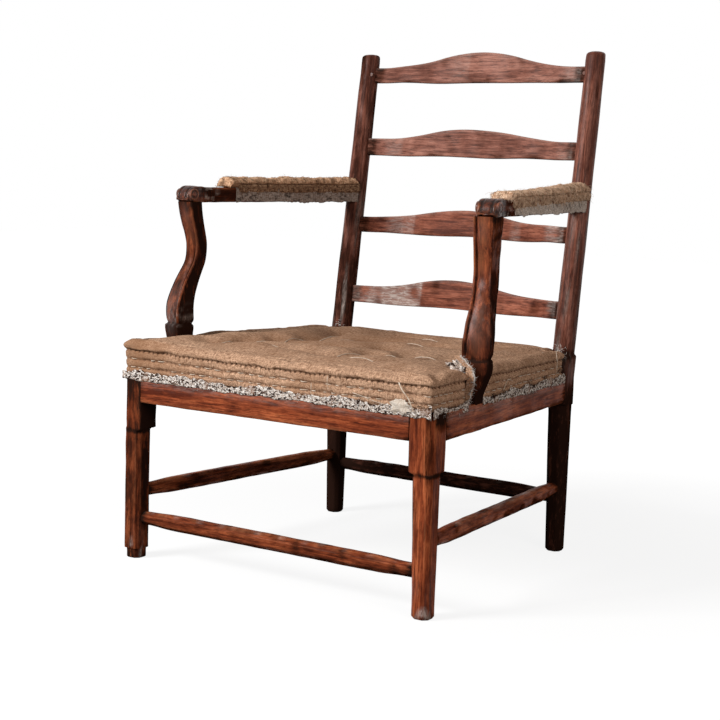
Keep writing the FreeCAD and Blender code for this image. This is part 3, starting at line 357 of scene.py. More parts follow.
def old_wood(name, dark, middle, light, rubbed_and_lit, gloss, haze=0.0):
    """Old beech: long grain streaks, dark pores and stains, worn arrises, dirt in joints, chalky marks; its
    marks also paint shade dark and, on the right arm support, paint light.
    """
    material, board, surface = new_material(name)
    grain = board.mark("grain", "Vector")
    streak = board.noise(grain, (150, 150, 9), 6, 0.7, 0.5)
    broad = board.noise(grain, (26, 26, 4.5), 3, 0.55)
    mottle = board.noise(grain, (80, 80, 22), 5, 0.72)
    cloud = board.noise(grain, 17.0, 4, 0.6)
    pores = board.noise(grain, (900, 900, 60), 2, 0.5)
    lines = board.noise(grain, (520, 520, 20), 3, 0.65, 0.6)
    scratch = board.noise(grain, (340, 340, 60), 3, 0.7, 0.8)
    tone = board.plus(board.times(streak, 0.52), board.times(broad, 0.25))
    tone = board.plus(tone, board.times(mottle, 0.23))
    colour = board.ramp(tone, ((0.425, dark), (0.505, middle), (0.59, light)))
    drawn = board.times(board.span(lines, 0.52, 0.64), board.span(broad, 0.35, 0.6, 0.35, 1.0))
    colour = board.blend(board.times(drawn, 0.8), colour, shade(dark, 0.5))
    colour = board.blend(board.times(board.span(cloud, 0.5, 0.68), 0.5), colour, dark)
    colour = board.blend(board.times(board.span(pores, 0.58, 0.68), 0.6), colour, shade(dark, 0.3))
    # Worn arrises take the lighter colour; on the right arm support this mark also carries painted light.
    worn = board.times(board.mark("wear"), board.span(cloud, 0.34, 0.6))
    colour = board.blend(board.times(worn, 0.55, clamp=True), colour, rubbed_and_lit)
    # Dirt and painted shade: the near-black colour where the darkening mark lies, patchy by the mottle.
    grime_and_shade = board.times(board.mark("soot_and_shade"), board.span(mottle, 0.64, 0.38, 0.55, 1.2))
    colour = board.blend(board.times(grime_and_shade, 0.95, clamp=True), colour, (0.022, 0.0095, 0.0065))
    chalky = board.times(board.mark("chalk"), board.span(scratch, 0.44, 0.6, 0.3, 1.0))
    colour = board.blend(board.times(chalky, 0.8, clamp=True), colour, (0.62, 0.52, 0.47))
    polish = board.mark("polish")
    dull = board.span(cloud, 0.3, 0.7, gloss, gloss + 0.2)
    rough = board.maths("SUBTRACT", dull, board.times(polish, 0.12))
    shine = board.plus(board.span(grime_and_shade, 0.0, 0.6, 0.06 + haze, 0.0), board.times(polish, 0.3))
    relief = board.plus(board.times(streak, 0.7), board.times(pores, -0.3))
    normal = board.bump(cloud, 0.25, 0.003, board.bump(relief, 0.35, 0.0008))
    board.join(surface, {"Base Color": colour, "Roughness": rough, "Specular IOR Level": shine,
                         "Normal": normal})
    return material


def forged_iron():
    """Rusted black iron with brown blooms."""
    material, board, surface = new_material("forged_iron")
    rust = board.noise(board.place(), 260.0, 5, 0.65)
    stops = ((0.35, (0.02, 0.017, 0.016)), (0.55, (0.06, 0.03, 0.02)), (0.7, (0.16, 0.065, 0.03)))
    board.join(surface, {"Base Color": board.ramp(rust, stops), "Metallic": 0.6,
                         "Roughness": board.span(rust, 0.4, 0.6, 0.45, 0.8),
                         "Normal": board.bump(rust, 0.4, 0.0006)})
    return material


def peg_wood():
    """End grain of the riven pins: small dark pores on brown."""
    material, board, surface = new_material("peg_wood")
    place = board.place()
    pores = board.noise(place, 900.0, 3, 0.6)
    cloud = board.noise(place, 120.0, 3, 0.6)
    colour = board.ramp(cloud, ((0.35, (0.05, 0.018, 0.01)), (0.65, (0.15, 0.05, 0.028))))
    colour = board.blend(board.span(pores, 0.55, 0.7), colour, (0.02, 0.009, 0.006))
    board.join(surface, {"Base Color": colour, "Roughness": board.span(cloud, 0.3, 0.7, 0.5, 0.75),
                         "Normal": board.bump(pores, 0.3, 0.0005)})
    return material


STITCH_STEP = 10.8 * MM


def hessian(name, deep, pale, pitch, soiled, seat=False):
    """Coarse jute cloth: two crossing sets of uneven yarns from the piece's weave map, with stains and
    painted shade.
    On the seat the rows of stitch holes are darkened too, and the hollow of each row gets painted shade."""
    material, board, surface = new_material(name)
    weave = board.add("ShaderNodeUVMap", uv_map="weave").outputs[0]
    sway = board.noise(weave, 60.0, 3, 0.6)
    bent_yarn = board.times(sway, 5.0)
    warp, weft = [board.maths("SINE", board.plus(board.times(axis, 2 * np.pi / pitch), bent_yarn))
                  for axis in board.parts(weave)[:2]]
    yarns = board.plus(board.noise(weave, (520, 110, 1), 3, 0.6), board.noise(weave, (110, 520, 1), 3, 0.6))
    cloth = board.plus(board.times(board.times(warp, weft), 0.26), yarns)
    between = tuple(0.5 * (a + b) for a, b in zip(deep, pale))
    colour = board.ramp(board.span(cloth, 0.74, 1.28), ((0.0, deep), (0.5, between), (1.0, pale)))
    place = board.place()
    stain = board.span(board.noise(place, 9.0, 5, 0.62), 0.47, 0.72)
    colour = board.blend(board.times(stain, 0.5), colour, soiled)
    specks = board.span(board.noise(place, 330.0, 2, 0.5), 0.70, 0.76)
    colour = board.blend(board.times(specks, 0.8), colour, shade(soiled, 0.3))
    # Dirt and painted shade from the piece's darkening mark, blended toward a dark stain colour.
    grime_and_shade = board.times(board.mark("soot_and_shade"), board.span(yarns, 0.7, 1.25, 1.0, 0.55))
    colour = board.blend(grime_and_shade, colour, shade(soiled, 0.16))
    relief = cloth
    if seat:
        # Painted shade in the seat's hollows, with stains, from the seat's mark.
        colour = board.blend(board.times(board.mark("soil_and_shade"), 0.75), colour, shade(soiled, 0.9))
        along, row, holes = board.parts(board.mark("edge", "Vector"))
        paced = board.plus(board.maths("DIVIDE", along, STITCH_STEP), board.times(sway, 0.9))
        off_hole = board.maths("ABSOLUTE", board.maths("SUBTRACT", board.maths("FRACT", paced), 0.5))
        hole = board.times(board.span(off_hole, 0.13, 0.24, 1.0, 0.0), holes)
        colour = board.blend(hole, colour, (0.045, 0.02, 0.011))
        relief = board.maths("SUBTRACT", cloth, board.times(hole, 1.6))
        # Painted shade in the drawn-in hollow of each stitched row.
        colour = board.blend(board.span(row, 0.25, 1.0, 0.0, 0.4), colour, (0.11, 0.05, 0.026))
    board.join(surface, {"Base Color": colour, "Roughness": 0.9, "Specular IOR Level": 0.02,
                         "Normal": board.bump(relief, 0.55, 0.0011)})
    return material


def torn_tape():
    """Remains of a white cover: a tangle of pale fibres with dark specks and brown show-through."""
    material, board, surface = new_material("torn_tape")
    weave = board.add("ShaderNodeUVMap", uv_map="weave").outputs[0]
    tangle = board.noise(weave, (300, 460, 1), 5, 0.75, 1.2)
    specks = board.noise(weave, (170, 235, 1), 3, 0.62, 0.8)
    patch = board.noise(weave, 28.0, 3, 0.6)
    stops = ((0.40, (0.1, 0.05, 0.03)), (0.47, (0.5, 0.38, 0.3)), (0.54, (0.93, 0.89, 0.84)))
    colour = board.ramp(tangle, stops)
    colour = board.blend(board.span(specks, 0.51, 0.55), colour, (0.03, 0.015, 0.01))
    colour = board.blend(board.times(board.span(patch, 0.52, 0.66), 0.6), colour, (0.27, 0.14, 0.085))
    board.join(surface, {"Base Color": colour, "Roughness": 0.95, "Specular IOR Level": 0.1,
                         "Normal": board.bump(tangle, 0.8, 0.0016)})
    return material


def spun_thread(name, deep, pale):
    """Twine and loose fibres: colour drifts along their length."""
    material, board, surface = new_material(name)
    place = board.place()
    colour = board.ramp(board.noise(place, 160.0, 3, 0.6), ((0.3, deep), (0.7, pale)))
    twist = board.noise(place, 1100.0, 2, 0.5)
    board.join(surface, {"Base Color": colour, "Roughness": 0.85, "Specular IOR Level": 0.04,
                         "Normal": board.bump(twist, 0.5, 0.0005)})
    return material


FRONT_WOOD = old_wood("front_wood", (0.085, 0.014, 0.005), (0.27, 0.057, 0.02), (0.5, 0.135, 0.05),
                      (0.6, 0.22, 0.1), 0.36)
BACK_WOOD = old_wood("back_wood", (0.05, 0.014, 0.009), (0.16, 0.052, 0.033), (0.31, 0.118, 0.08),
                     (0.4, 0.18, 0.13), 0.3, 0.03)
ARM_WOOD = old_wood("arm_wood", (0.045, 0.01, 0.005), (0.15, 0.033, 0.014), (0.33, 0.085, 0.032),
                    (0.5, 0.17, 0.07), 0.26, 0.02)
SLAT_WOOD = old_wood("slat_wood", (0.09, 0.028, 0.017), (0.24, 0.088, 0.058), (0.38, 0.165, 0.117),
                     (0.48, 0.25, 0.19), 0.42, 0.03)
WARM_SLAT_WOOD = old_wood("warm_slat_wood", (0.085, 0.02, 0.01), (0.25, 0.074, 0.04), (0.42, 0.15, 0.09),
                          (0.5, 0.23, 0.16), 0.42, 0.02)
SEAT_HESSIAN = hessian("seat_hessian", (0.175, 0.086, 0.046), (0.77, 0.49, 0.325), 0.0026,
                       (0.28, 0.14, 0.073), True)
ARM_HESSIAN = hessian("arm_hessian", (0.36, 0.165, 0.085), (1.0, 0.68, 0.44), 0.0022, (0.3, 0.15, 0.08))
# Brighter copy of the arm hessian for the right arm's pad: painted light on that arm's shaded side.
LIT_PAD_HESSIAN = hessian("lit_pad_hessian", (0.4, 0.19, 0.1), (1.0, 0.76, 0.55), 0.0022, (0.75, 0.42, 0.26))
BASE_HESSIAN = hessian("base_hessian", (0.17, 0.1, 0.055), (0.48, 0.31, 0.19), 0.0024, (0.2, 0.12, 0.07))
GREY_CANVAS = hessian("grey_canvas", (0.18, 0.13, 0.105), (0.68, 0.58, 0.52), 0.0015, (0.2, 0.14, 0.11))
# Brighter copy of the grey canvas for the right arm: painted light on that arm's shaded side.
LIT_CANVAS = hessian("lit_canvas", (0.34, 0.26, 0.21), (0.95, 0.86, 0.78), 0.0015, (0.3, 0.21, 0.16))
JUTE_WEB = hessian("jute_web", (0.14, 0.085, 0.045), (0.42, 0.28, 0.17), 0.0032, (0.15, 0.09, 0.05))
CREAM_RAG = hessian("cream_rag", (0.5, 0.4, 0.31), (0.86, 0.79, 0.7), 0.0011, (0.55, 0.42, 0.32))
TORN_TAPE = torn_tape()
CREAM_TWINE = spun_thread("cream_twine", (0.46, 0.34, 0.24), (0.78, 0.68, 0.57))
WHITE_FIBRE = spun_thread("white_fibre", (0.6, 0.54, 0.49), (0.88, 0.86, 0.83))
JUTE_FIBRE = spun_thread("jute_fibre", (0.09, 0.04, 0.02), (0.47, 0.27, 0.155))
# Brighter copy of the jute fibre for the right arm's fringe and nap: painted light.
LIT_JUTE = spun_thread("lit_jute", (0.3, 0.13, 0.065), (1.0, 0.8, 0.6))
HORSE_HAIR = spun_thread("horse_hair", (0.02, 0.014, 0.012), (0.09, 0.055, 0.04))
IRON = forged_iron()
PEG_WOOD = peg_wood()


# Legs and posts


def eight_reach(half, chamfer, corner, big):
    """Distances of eight flats from a bar's axis: half to each side, chamfers cut back, one corner more."""
    cut = (2 * half - chamfer) / np.sqrt(2)
    deep = (2 * half - big) / np.sqrt(2)
    reach = np.stack([half, cut, half, cut, half, cut, half, cut], axis=-1)
    reach[:, 2 * corner + 1] = deep
    return reach


def front_leg(side, sign):
    """A square head flush with the rails, a worn ledge and a tapered shank shaved to eight flats."""
    foot = 19.0 if sign < 0 else 16.75
    corner = 3 if sign > 0 else 2
    height = np.array([0, 1.5, 4, 9, 17.5, 19, 21, 26, 45, 90, 135, 180, 215, 236, 241.5, 243.5, 245.5,
                       247.5, 250, 262, 285, 310, 332, 341, 343.2, 344.0])
    full = np.interp(height, [0, 4, 19, 21, 241.5, 247.5, 344],
                     [foot - 2.6, foot, foot, foot, 19.75, 23.0, 23.0])
    if sign < 0:
        full = np.where(height < 18.5, 16.0, full)
        full[0] = 14.5
    full = full - 1.0 * (height > 343.5) - 0.4 * (height == 343.2)
    head = ease(height, 242.5, 247.5)
    chamfer = np.interp(height, [0, 26, 236], [7, 7, 8]) * (1 - head) + 2.2 * head
    big = np.interp(height, [0, 26, 236], [7, 7, 8]) * (1 - head) + 13.0 * head
    reach = eight_reach(full, chamfer, corner, big) * MM
    inset = np.interp(height, [0, 21, 241.5, 247.5, 344], [foot + 1.5, foot + 1.5, 21.25, 23, 23]) * MM
    if sign < 0:
        inset = np.where(height < 18.5, inset[4:6].mean(), inset)
    middles = np.stack([sign * (HALF_FRONT - inset), FRONT + inset, height * MM], axis=-1)
    rings, wear = shaved_rings(middles, X, Y, reach, 46, 80, 0.35 * MM, 11 + sign)
    ledge = bell(height, 244.5, 5)[:, None]
    rings[..., 2] += ledge * 1.4 * MM * ripple(rings, 0.03, 21)
    lift = height[:, None] * MM
    # Painted shadow in a dark band just under the head's ledge; painted shade on the head's inner face and,
    # on the right leg, on its outer face. Also darker: the head's top, the foot, streaks, the top of the
    # outer faces, and the whole left leg.
    soot_and_shade = 0.95 * bell(height, 242, 3.5)[:, None] + 0.55 * ease(lift, 0.318, 0.344)
    soot_and_shade = soot_and_shade + 0.35 * bell(lift, 0, 0.012)
    streaks = ease(ripple(rings * [1, 1, 0.12], 0.03, 5 + sign), 0.5, 1.1)
    soot_and_shade = soot_and_shade + 0.5 * streaks + 0.06 * ease(lift, 0.244, 0.25)
    outer = (rings - middles[:, None])[..., 0] * sign > 0.9 * reach[:, :1]
    soot_and_shade = soot_and_shade + 0.5 * (height > 330)[:, None] * outer + (0.74 if sign < 0 else 0.0)
    inner = rings[..., 0] * sign < HALF_FRONT - 44 * MM
    soot_and_shade = soot_and_shade + 0.9 * inner * head[:, None] + 0.22 * (sign > 0) * outer
    chalk = 0.75 * bell(lift, 0.012, 0.02) * ease(ripple(rings, 0.03, 8), 0.0, 0.8)
    wood_piece(f"front_leg_{side}", rings, wear, Z, FRONT_WOOD, "front_wood", 30 + sign, chalk, soot_and_shade)


def back_post(side, sign):
    """One long piece: a tapered leg of eight flats, a block at the seat and a round raked shaft."""
    height = np.array([0, 1.5, 4, 12, 40, 85, 130, 180, 230, 270, 286, 289.5, 291, 293, 297, 320, 343,
                       360, 378, 383, 385.5, 387, 390, 400, 440, 490, 540, 590, 640, 690, 740, 790, 840,
                       890, 930, 952, 962, 966, 968.6, 970.2, 970.9])
    half = np.interp(height, [0, 4, 289.5, 292.5, 384, 388, 960, 966, 968.6, 970.2, 970.9],
                     [13.6, 16, 20, 22, 22, 21.4, 19, 18.2, 15.5, 11, 6])
    block = ease(height, 289, 293) * (1 - ease(height, 383, 388))
    shaft = ease(height, 383, 389)
    chamfer = np.interp(height, [0, 289], [7, 9]) * (1 - block) + 2 * block
    big = chamfer * (1 - block) + 8 * block
    corner = 0 if sign > 0 else 1
    reach = eight_reach(half, chamfer, corner, big)
    reach = (reach * (1 - shaft)[:, None] + half[:, None] * shaft[:, None]) * MM
    z = height * MM
    raked = POST_Y + np.maximum(z - RAIL_TOP, 0) * LEAN
    middles = np.stack([np.full_like(z, sign * POST_X), raked, z], axis=-1)
    foot_shift = np.interp(height, [0, 289.5, 292.5], [22 - 16, 2, 0]) * MM
    middles[:, 0] += sign * foot_shift * 0.25
    flats_soft, wear_flat = shaved_rings(middles, X, Y, reach, 40, 64, 0.3 * MM, 51 + sign)
    round_soft, _ = shaved_rings(middles, X, Y, reach, 9, 64, 0.35 * MM, 51 + sign)
    share = shaft[:, None, None]
    rings = flats_soft * (1 - share) + round_soft * share
    wear = wear_flat * (1 - share[..., 0])
    lift = rings[..., 2]
    streaks = ease(ripple(rings * [1, 1, 0.15], 0.02, 61 + sign), 0.35, 1.1)
    # Darker in a band where the block meets the round shaft, along streaks, below the seat rails,
    # increasingly from 0.66 m down, and more on the left post.
    soot_and_shade = 0.9 * bell(lift, 0.387, 0.008) + 0.45 * streaks + 0.95 * ease(0.345 - lift, 0, 0.05)
    soot_and_shade = soot_and_shade + (0.3 if sign < 0 else 0.0) + (0.55 if sign < 0 else 0.3) * ease(0.66 - lift, 0, 0.2)
    chalk = 0.85 * bell(lift, 0.44, 0.05) * streaks + 0.5 * bell(lift, 0.62, 0.045) * streaks
    wood_piece(f"back_post_{side}", rings, wear, unit(Z + LEAN * Y), BACK_WOOD, "back_wood", 40 + sign,
               chalk, soot_and_shade)


for side, sign in SIDES:
    front_leg(side, sign)
    back_post(side, sign)


# Rails, stretchers and slats

RAIL_THICK = 28 * MM


def rail(name, start, stop, material, slot, seed, extra_dark=0.0):
    """A seat rail from start to stop at its outer face, softly worn along its arrises."""
    start, stop = np.array(start, float), np.array(stop, float)
    along = unit(stop - start)
    inward = np.cross(Z, along)
    share = np.linspace(0, 1, 61)
    middles = start + share[:, None] * (stop - start) + inward * RAIL_THICK / 2
    middles[:, 2] = (RAIL_TOP + RAIL_BOTTOM) / 2
    half = (RAIL_TOP - RAIL_BOTTOM) / 2
    rings, wear = boxed_rings(middles, -inward, Z, RAIL_THICK / 2, half, 2.2 * MM, box_ring(4, 4, 7))
    rings = dented(rings, middles, 0.35 * MM, 0.06, seed)
    lift = (rings[..., 2] - RAIL_BOTTOM) / (RAIL_TOP - RAIL_BOTTOM)
    reach = share[:, None] * np.linalg.norm(stop - start)
    ends = np.minimum(reach, reach[-1] - reach)
    # Darker at the ends, where the rail meets the legs, and toward its bottom edge; tack holes, streaks and
    # an even extra darkening add to it.
    soot_and_shade = 0.5 * (1 - ease(ends, 0.002, 0.014)) + 0.4 * (1 - ease(lift, 0.03, 0.2))
    holes = ease(ripple(rings, 0.012, seed + 3), 0.9, 1.5) * bell(lift, 0.75, 0.14)
    soot_and_shade = soot_and_shade + 0.5 * holes + 0.15 * ease(ripple(rings, 0.05, seed + 5), 0.4, 1.3) + extra_dark
    wood_piece(name, rings, wear, along, material, slot, seed, 0.2 * bell(lift, 0.8, 0.15), soot_and_shade)


def side_run(sign, sense):
    """A side rail's ends at its outer face; the sense says which end comes first."""
    return [(sign * side_x(y), y, 0) for y in (HEAD_BACK, BLOCK_FRONT)[::sense]]


FRONT_RAIL_END = HALF_FRONT - 46 * MM
BACK_RAIL_END = 0.242
rail("front_seat_rail", (-FRONT_RAIL_END, FRONT, 0), (FRONT_RAIL_END, FRONT, 0), FRONT_WOOD, "front_wood", 71)
rail("back_seat_rail", (BACK_RAIL_END, BACK, 0), (-BACK_RAIL_END, BACK, 0), BACK_WOOD, "back_wood", 72)
rail("side_rail_right", *side_run(1, 1), FRONT_WOOD, "front_wood", 73, 0.2)
rail("side_rail_left", *side_run(-1, -1), FRONT_WOOD, "front_wood", 74)


STRETCHER_TRIM = 10 * MM


def stretcher(name, start, stop, material, slot, seed, extra_dark):
    """A hand-shaved bar, thinner toward its ends, with uneven broken facets; it ends inside the legs."""
    start, stop = np.array(start), np.array(stop)
    along = unit(stop - start)
    length = np.linalg.norm(stop - start)
    reach = np.linspace(STRETCHER_TRIM, length - STRETCHER_TRIM, 90)
    ends = np.minimum(reach, length - reach)
    swell = ease(ends, 0.03, 0.095)
    tall = (12.2 + 2.0 * swell) * MM
    wide = (10.7 + 1.9 * swell) * MM
    middles = start + reach[:, None] * along
    outward = np.cross(along, Z)
    dice = np.random.default_rng(seed)
    corner = (tall + wide - 7.2 * MM) / np.sqrt(2)
    sizes = [wide, corner, tall, corner] * 2
    wander = dice.uniform(0, 6.28, 8)
    flats = np.stack([size * (1 + 0.016 * np.sin(reach * 9 + w) + 0.004 * np.sin(reach * 31 + 2 * w))
                      for size, w in zip(sizes, wander)], axis=-1)
    rings, wear = shaved_rings(middles, outward, Z, flats, 30, 64, 0.22 * MM, seed)
    up = (rings[..., 2] - middles[:, None, 2]) / tall[:, None]
    # Painted shade along the underside of the bar; darker also at the ends, where it enters the legs, along
    # streaks, and by an even extra darkening.
    soot_and_shade = 0.95 * (1 - ease(ends - 0.014, 0.0, 0.022))[:, None] + 0.35 * ease(-up, 0.2, 0.9)
    soot_and_shade = soot_and_shade + 0.45 * ease(ripple(rings, 0.04, seed + 1), 0.5, 1.3) + extra_dark
    wear = np.maximum(0.5 * wear, ease(up, 0.5, 0.95) * ease(ripple(rings, 0.05, seed + 2), -0.5, 0.6))
    chalk = 0.3 * ease(up, 0.6, 1) * ease(ripple(rings, 0.03, seed + 3), 0.4, 1.2)
    wood_piece(name, rings, wear, along, material, slot, seed, chalk, soot_and_shade)


LEG_X, LEG_Y = 0.31875, -0.3274
LOW, MIDDLE, HIGH = 0.077, 0.107, 0.126


def leg_spot(sign, height):
    """A front leg's axis at a height."""
    return (sign * LEG_X, LEG_Y, height)


def post_spot(sign, height):
    """A back post's axis at a height below the seat."""
    return (sign * POST_X, POST_Y, height)


stretcher("front_stretcher", leg_spot(-1, LOW), leg_spot(1, LOW), FRONT_WOOD, "front_wood", 81, 0.36)
stretcher("back_stretcher", post_spot(1, MIDDLE), post_spot(-1, MIDDLE), BACK_WOOD, "back_wood", 82, 0.95)
stretcher("side_stretcher_right", leg_spot(1, HIGH), post_spot(1, HIGH), FRONT_WOOD, "front_wood", 83, 0.36)
stretcher("side_stretcher_left", post_spot(-1, HIGH), leg_spot(-1, HIGH), FRONT_WOOD, "front_wood", 84, 0.35)

SLAT_RUN = 0.2305
SLAT_HALF = 0.2565


def crest_rise(x, rise):
    """A serpentine crest: a hollow arc of 0.58 of the bend rising into a swelling arc of 0.42 of it."""
    bend = (SLAT_RUN ** 2 + rise ** 2) / (2 * rise)
    swell, hollow = 0.42 * bend, 0.58 * bend
    away = np.minimum(np.abs(x), SLAT_RUN)
    inner = rise - swell + np.sqrt(np.maximum(swell ** 2 - away ** 2, 0))
    outer = hollow - np.sqrt(np.maximum(hollow ** 2 - (SLAT_RUN - away) ** 2, 0))
    return np.where(away < 0.42 * SLAT_RUN, inner, outer)


def back_slat(name, bottom, end, crest, seed, chalky, wood):
    """A thin board bowed backward with a serpentine crest, standing in the raked plane of the posts."""
    raked = unit(Z + LEAN * Y)
    x = np.linspace(-SLAT_HALF, SLAT_HALF, 121)
    tall = end + crest_rise(x, crest - end)
    foot = bottom + 1.2 * MM * ripple(x[:, None], 0.2, seed) * ease(SLAT_RUN - np.abs(x), 0, 0.05)
    bow = 12 * MM * (1 - (x / SLAT_HALF) ** 2)
    y = POST_Y + (bottom - RAIL_TOP) * LEAN + bow
    middles = np.stack([x, y, foot], axis=-1) + raked * (tall / 2)[:, None]
    facing = np.cross(raked, X)
    rings, wear = boxed_rings(middles, facing, raked, 5.5 * MM, tall / 2, 2.6 * MM, box_ring(5, 3, 12))
    rings = rings + facing * (0.5 * MM * ripple(rings, 0.07, seed + 1))[..., None]
    lift = ((rings - middles[:, None]) @ raked + tall[:, None] / 2) / tall[:, None]
    ends = SLAT_RUN - np.abs(rings[..., 0])
    soot_and_shade = 0.8 * (1 - ease(ends, 0.0, 0.012)) + 0.6 * ease(0.3 - lift, 0, 0.3) * ease(
        ripple(rings, 0.08, seed + 2), -0.1, 1.0)
    soot_and_shade = soot_and_shade + 0.4 * ease(ripple(rings, 0.05, seed + 4), 0.6, 1.5)
    chalk = 0.2 * bell(lift, 1.0, 0.1)
    for left, right, strength in chalky:
        spread = ease(rings[..., 0], left, left + 0.45 * (right - left))
        spread = spread * (1 - ease(rings[..., 0], right - 5 * MM, right))
        chalk = chalk + strength * spread * ease(ripple(rings, 0.06, seed + 3), -1.6, 0.4)
    wood_piece(name, rings, 0.6 * wear, X, wood, "back_wood", seed, chalk, soot_and_shade)


back_slat("top_slat", 0.911, 31 * MM, 62 * MM, 91, ((-0.09, -0.02, 0.15), (0.19, 0.24, 0.25)), SLAT_WOOD)
back_slat("upper_slat", 0.760, 35 * MM, 57 * MM, 95, ((-0.225, -0.16, 0.2), (0.195, 0.24, 0.3)), SLAT_WOOD)
back_slat("lower_slat", 0.599, 32 * MM, 53 * MM, 99,
          ((-0.19, -0.11, 0.4), (0.19, 0.24, 0.85), (0.11, 0.14, 0.4)), WARM_SLAT_WOOD)
back_slat("bottom_slat", 0.452, 35 * MM, 58 * MM, 103, ((-0.26, -0.076, 1.3), (0.21, 0.24, 0.4)),
          WARM_SLAT_WOOD)


# Arms and their supports

ARM_BACK = 0.2856
ARM_TURN = np.arctan2(ARM_X - POST_X, ARM_BACK - ARM_Y)
ARM_LENGTH = np.hypot(ARM_X - POST_X, ARM_BACK - ARM_Y)
ARM_TOP = 28 * MM


def arm_frame(sign):
    """Where an arm starts over its support, and its directions across and along."""
    along = np.array([-sign * np.sin(ARM_TURN), np.cos(ARM_TURN), 0])
    return np.array([sign * ARM_X, ARM_Y, ARM_Z]), np.cross(along, Z), along


def arm(side, sign):
    """A flat arm ending in a rounded knuckle: the top falls from the knuckle to the padded stretch."""
    start, across, along = arm_frame(sign)
    reach = np.concatenate([-19 + 23 * (1 - np.cos(np.linspace(0, np.pi / 2, 14))), np.linspace(5.5, 50, 24),
                            np.linspace(55, 1000 * ARM_LENGTH, 44)]) * MM
    curve = np.clip((reach + 19 * MM) / (23 * MM), 0, 1)
    top = 31 * MM - 23 * MM * (1 - np.sqrt(1 - (1 - curve) ** 2))
    top = top - 3 * MM * ease(reach, 14 * MM, 40 * MM)
    low = 4 * MM * (1 - ease(curve, 0, 0.35))
    wide = np.interp(reach, [0, 60 * MM, ARM_LENGTH], [20 * MM, 18.3 * MM, 16 * MM])
    wide = wide - 3.5 * MM * (1 - ease(curve, 0, 0.4))
    groove = bell(reach, -9 * MM, 1.6 * MM) + 0.8 * bell(reach, 9 * MM, 1.6 * MM)
    flutes = bell(reach, 30 * MM, 26 * MM) * (0.5 + 0.5 * np.sin(reach / MM * 0.9)) * (reach > 12 * MM)
    wide = wide - 1.3 * MM * groove - 0.8 * MM * flutes
    middles = start + reach[:, None] * along + np.stack([0 * top, 0 * top, (top + low) / 2], axis=-1)
    arris = np.minimum(4.2 * MM, (top - low) / 2.2)
    rings, wear = boxed_rings(middles, across, Z, wide, (top - low) / 2, arris, box_ring(5, 24, 4))
    rings = dented(rings, middles, 0.4 * MM, 0.03, 120 + sign)
    beside = np.abs((rings - middles[:, None]) @ across)
    carved = bell(beside, 9.5 * MM, 1.9 * MM) * (1 - ease(reach, -4 * MM, 12 * MM))[:, None]
    sunk = 1.2 * MM * Z * ease(reach, -17 * MM, -6 * MM)[:, None, None]
    rings = rings + carved[..., None] * (2.4 * MM * along - sunk)
    along_arm = np.broadcast_to(reach[:, None], rings.shape[:2])
    # Painted shade in the grooves, flutes and carved lines of the knuckle; the wood is also darker toward the
    # post and darkened all over.
    soot_and_shade = 0.8 * groove[:, None] + 0.55 * flutes[:, None] + 0.6 * ease(along_arm, 0.4, ARM_LENGTH)
    soot_and_shade = soot_and_shade + 0.68 + 0.8 * carved
    chalk = 0.75 * bell(along_arm, 0.034, 0.024) * ease(ripple(rings, 0.012, 130 + sign), 0.2, 1.0)
    wood_piece(f"arm_{side}", rings, wear, along, ARM_WOOD, "arm_wood", 121 + sign, chalk, soot_and_shade,
               0.5 * (1 - ease(along_arm, 0, 0.03)))
    eye = start - 5 * MM * along + 15.5 * MM * Z
    for word, way in (("outer", sign), ("inner", -sign)):
        scroll_eye(f"arm_eye_{word}_{side}", eye + way * across * 18.9 * MM, across * way)


def scroll_eye(name, middle, outward):
    """The scroll's round eye: a turned boss with a ring groove around a small button."""
    radius = np.array([11, 11, 10.6, 9.6, 8.4, 7.4, 6.8, 6.2, 5.6, 4.6, 3.2, 1.6]) * MM
    proud = np.array([-2.5, 0.8, 1.9, 2.4, 2.3, 1.5, 0.6, 0.7, 1.7, 2.4, 2.7, 2.8]) * MM
    turn = np.linspace(0, 2 * np.pi, 40, endpoint=False)
    side_way = unit(np.cross(Z, outward))
    ring = np.cos(turn)[:, None] * side_way + np.sin(turn)[:, None] * np.cross(outward, side_way)
    rings = middle + radius[:, None, None] * ring[None] + (proud[:, None] * outward)[:, None]
    # Painted shade in the eye's ring groove; the boss's raised rim is worn.
    soot_and_shade = np.repeat(bell(np.arange(12), 6.3, 1.4)[:, None], 40, axis=1)
    wear = np.repeat(bell(np.arange(12), 2.8, 1.2)[:, None], 40, axis=1)
    points, faces = closed_skin(rings)
    grain = np.stack([points[:, 0], points[:, 2], points[:, 1]], axis=-1)
    marks = {"grain": grain, "wear": np.append(wear.ravel(), [0, 0.4]), "chalk": 0.15 * np.ones(len(points)),
             "soot_and_shade": np.append(0.3 + soot_and_shade.ravel(), [0.3, 0.3]), "polish": 0.4 * np.ones(len(points))}
    put_mesh(name, points, faces, ARM_WOOD, "arm_wood", (), marks, sharp=50)


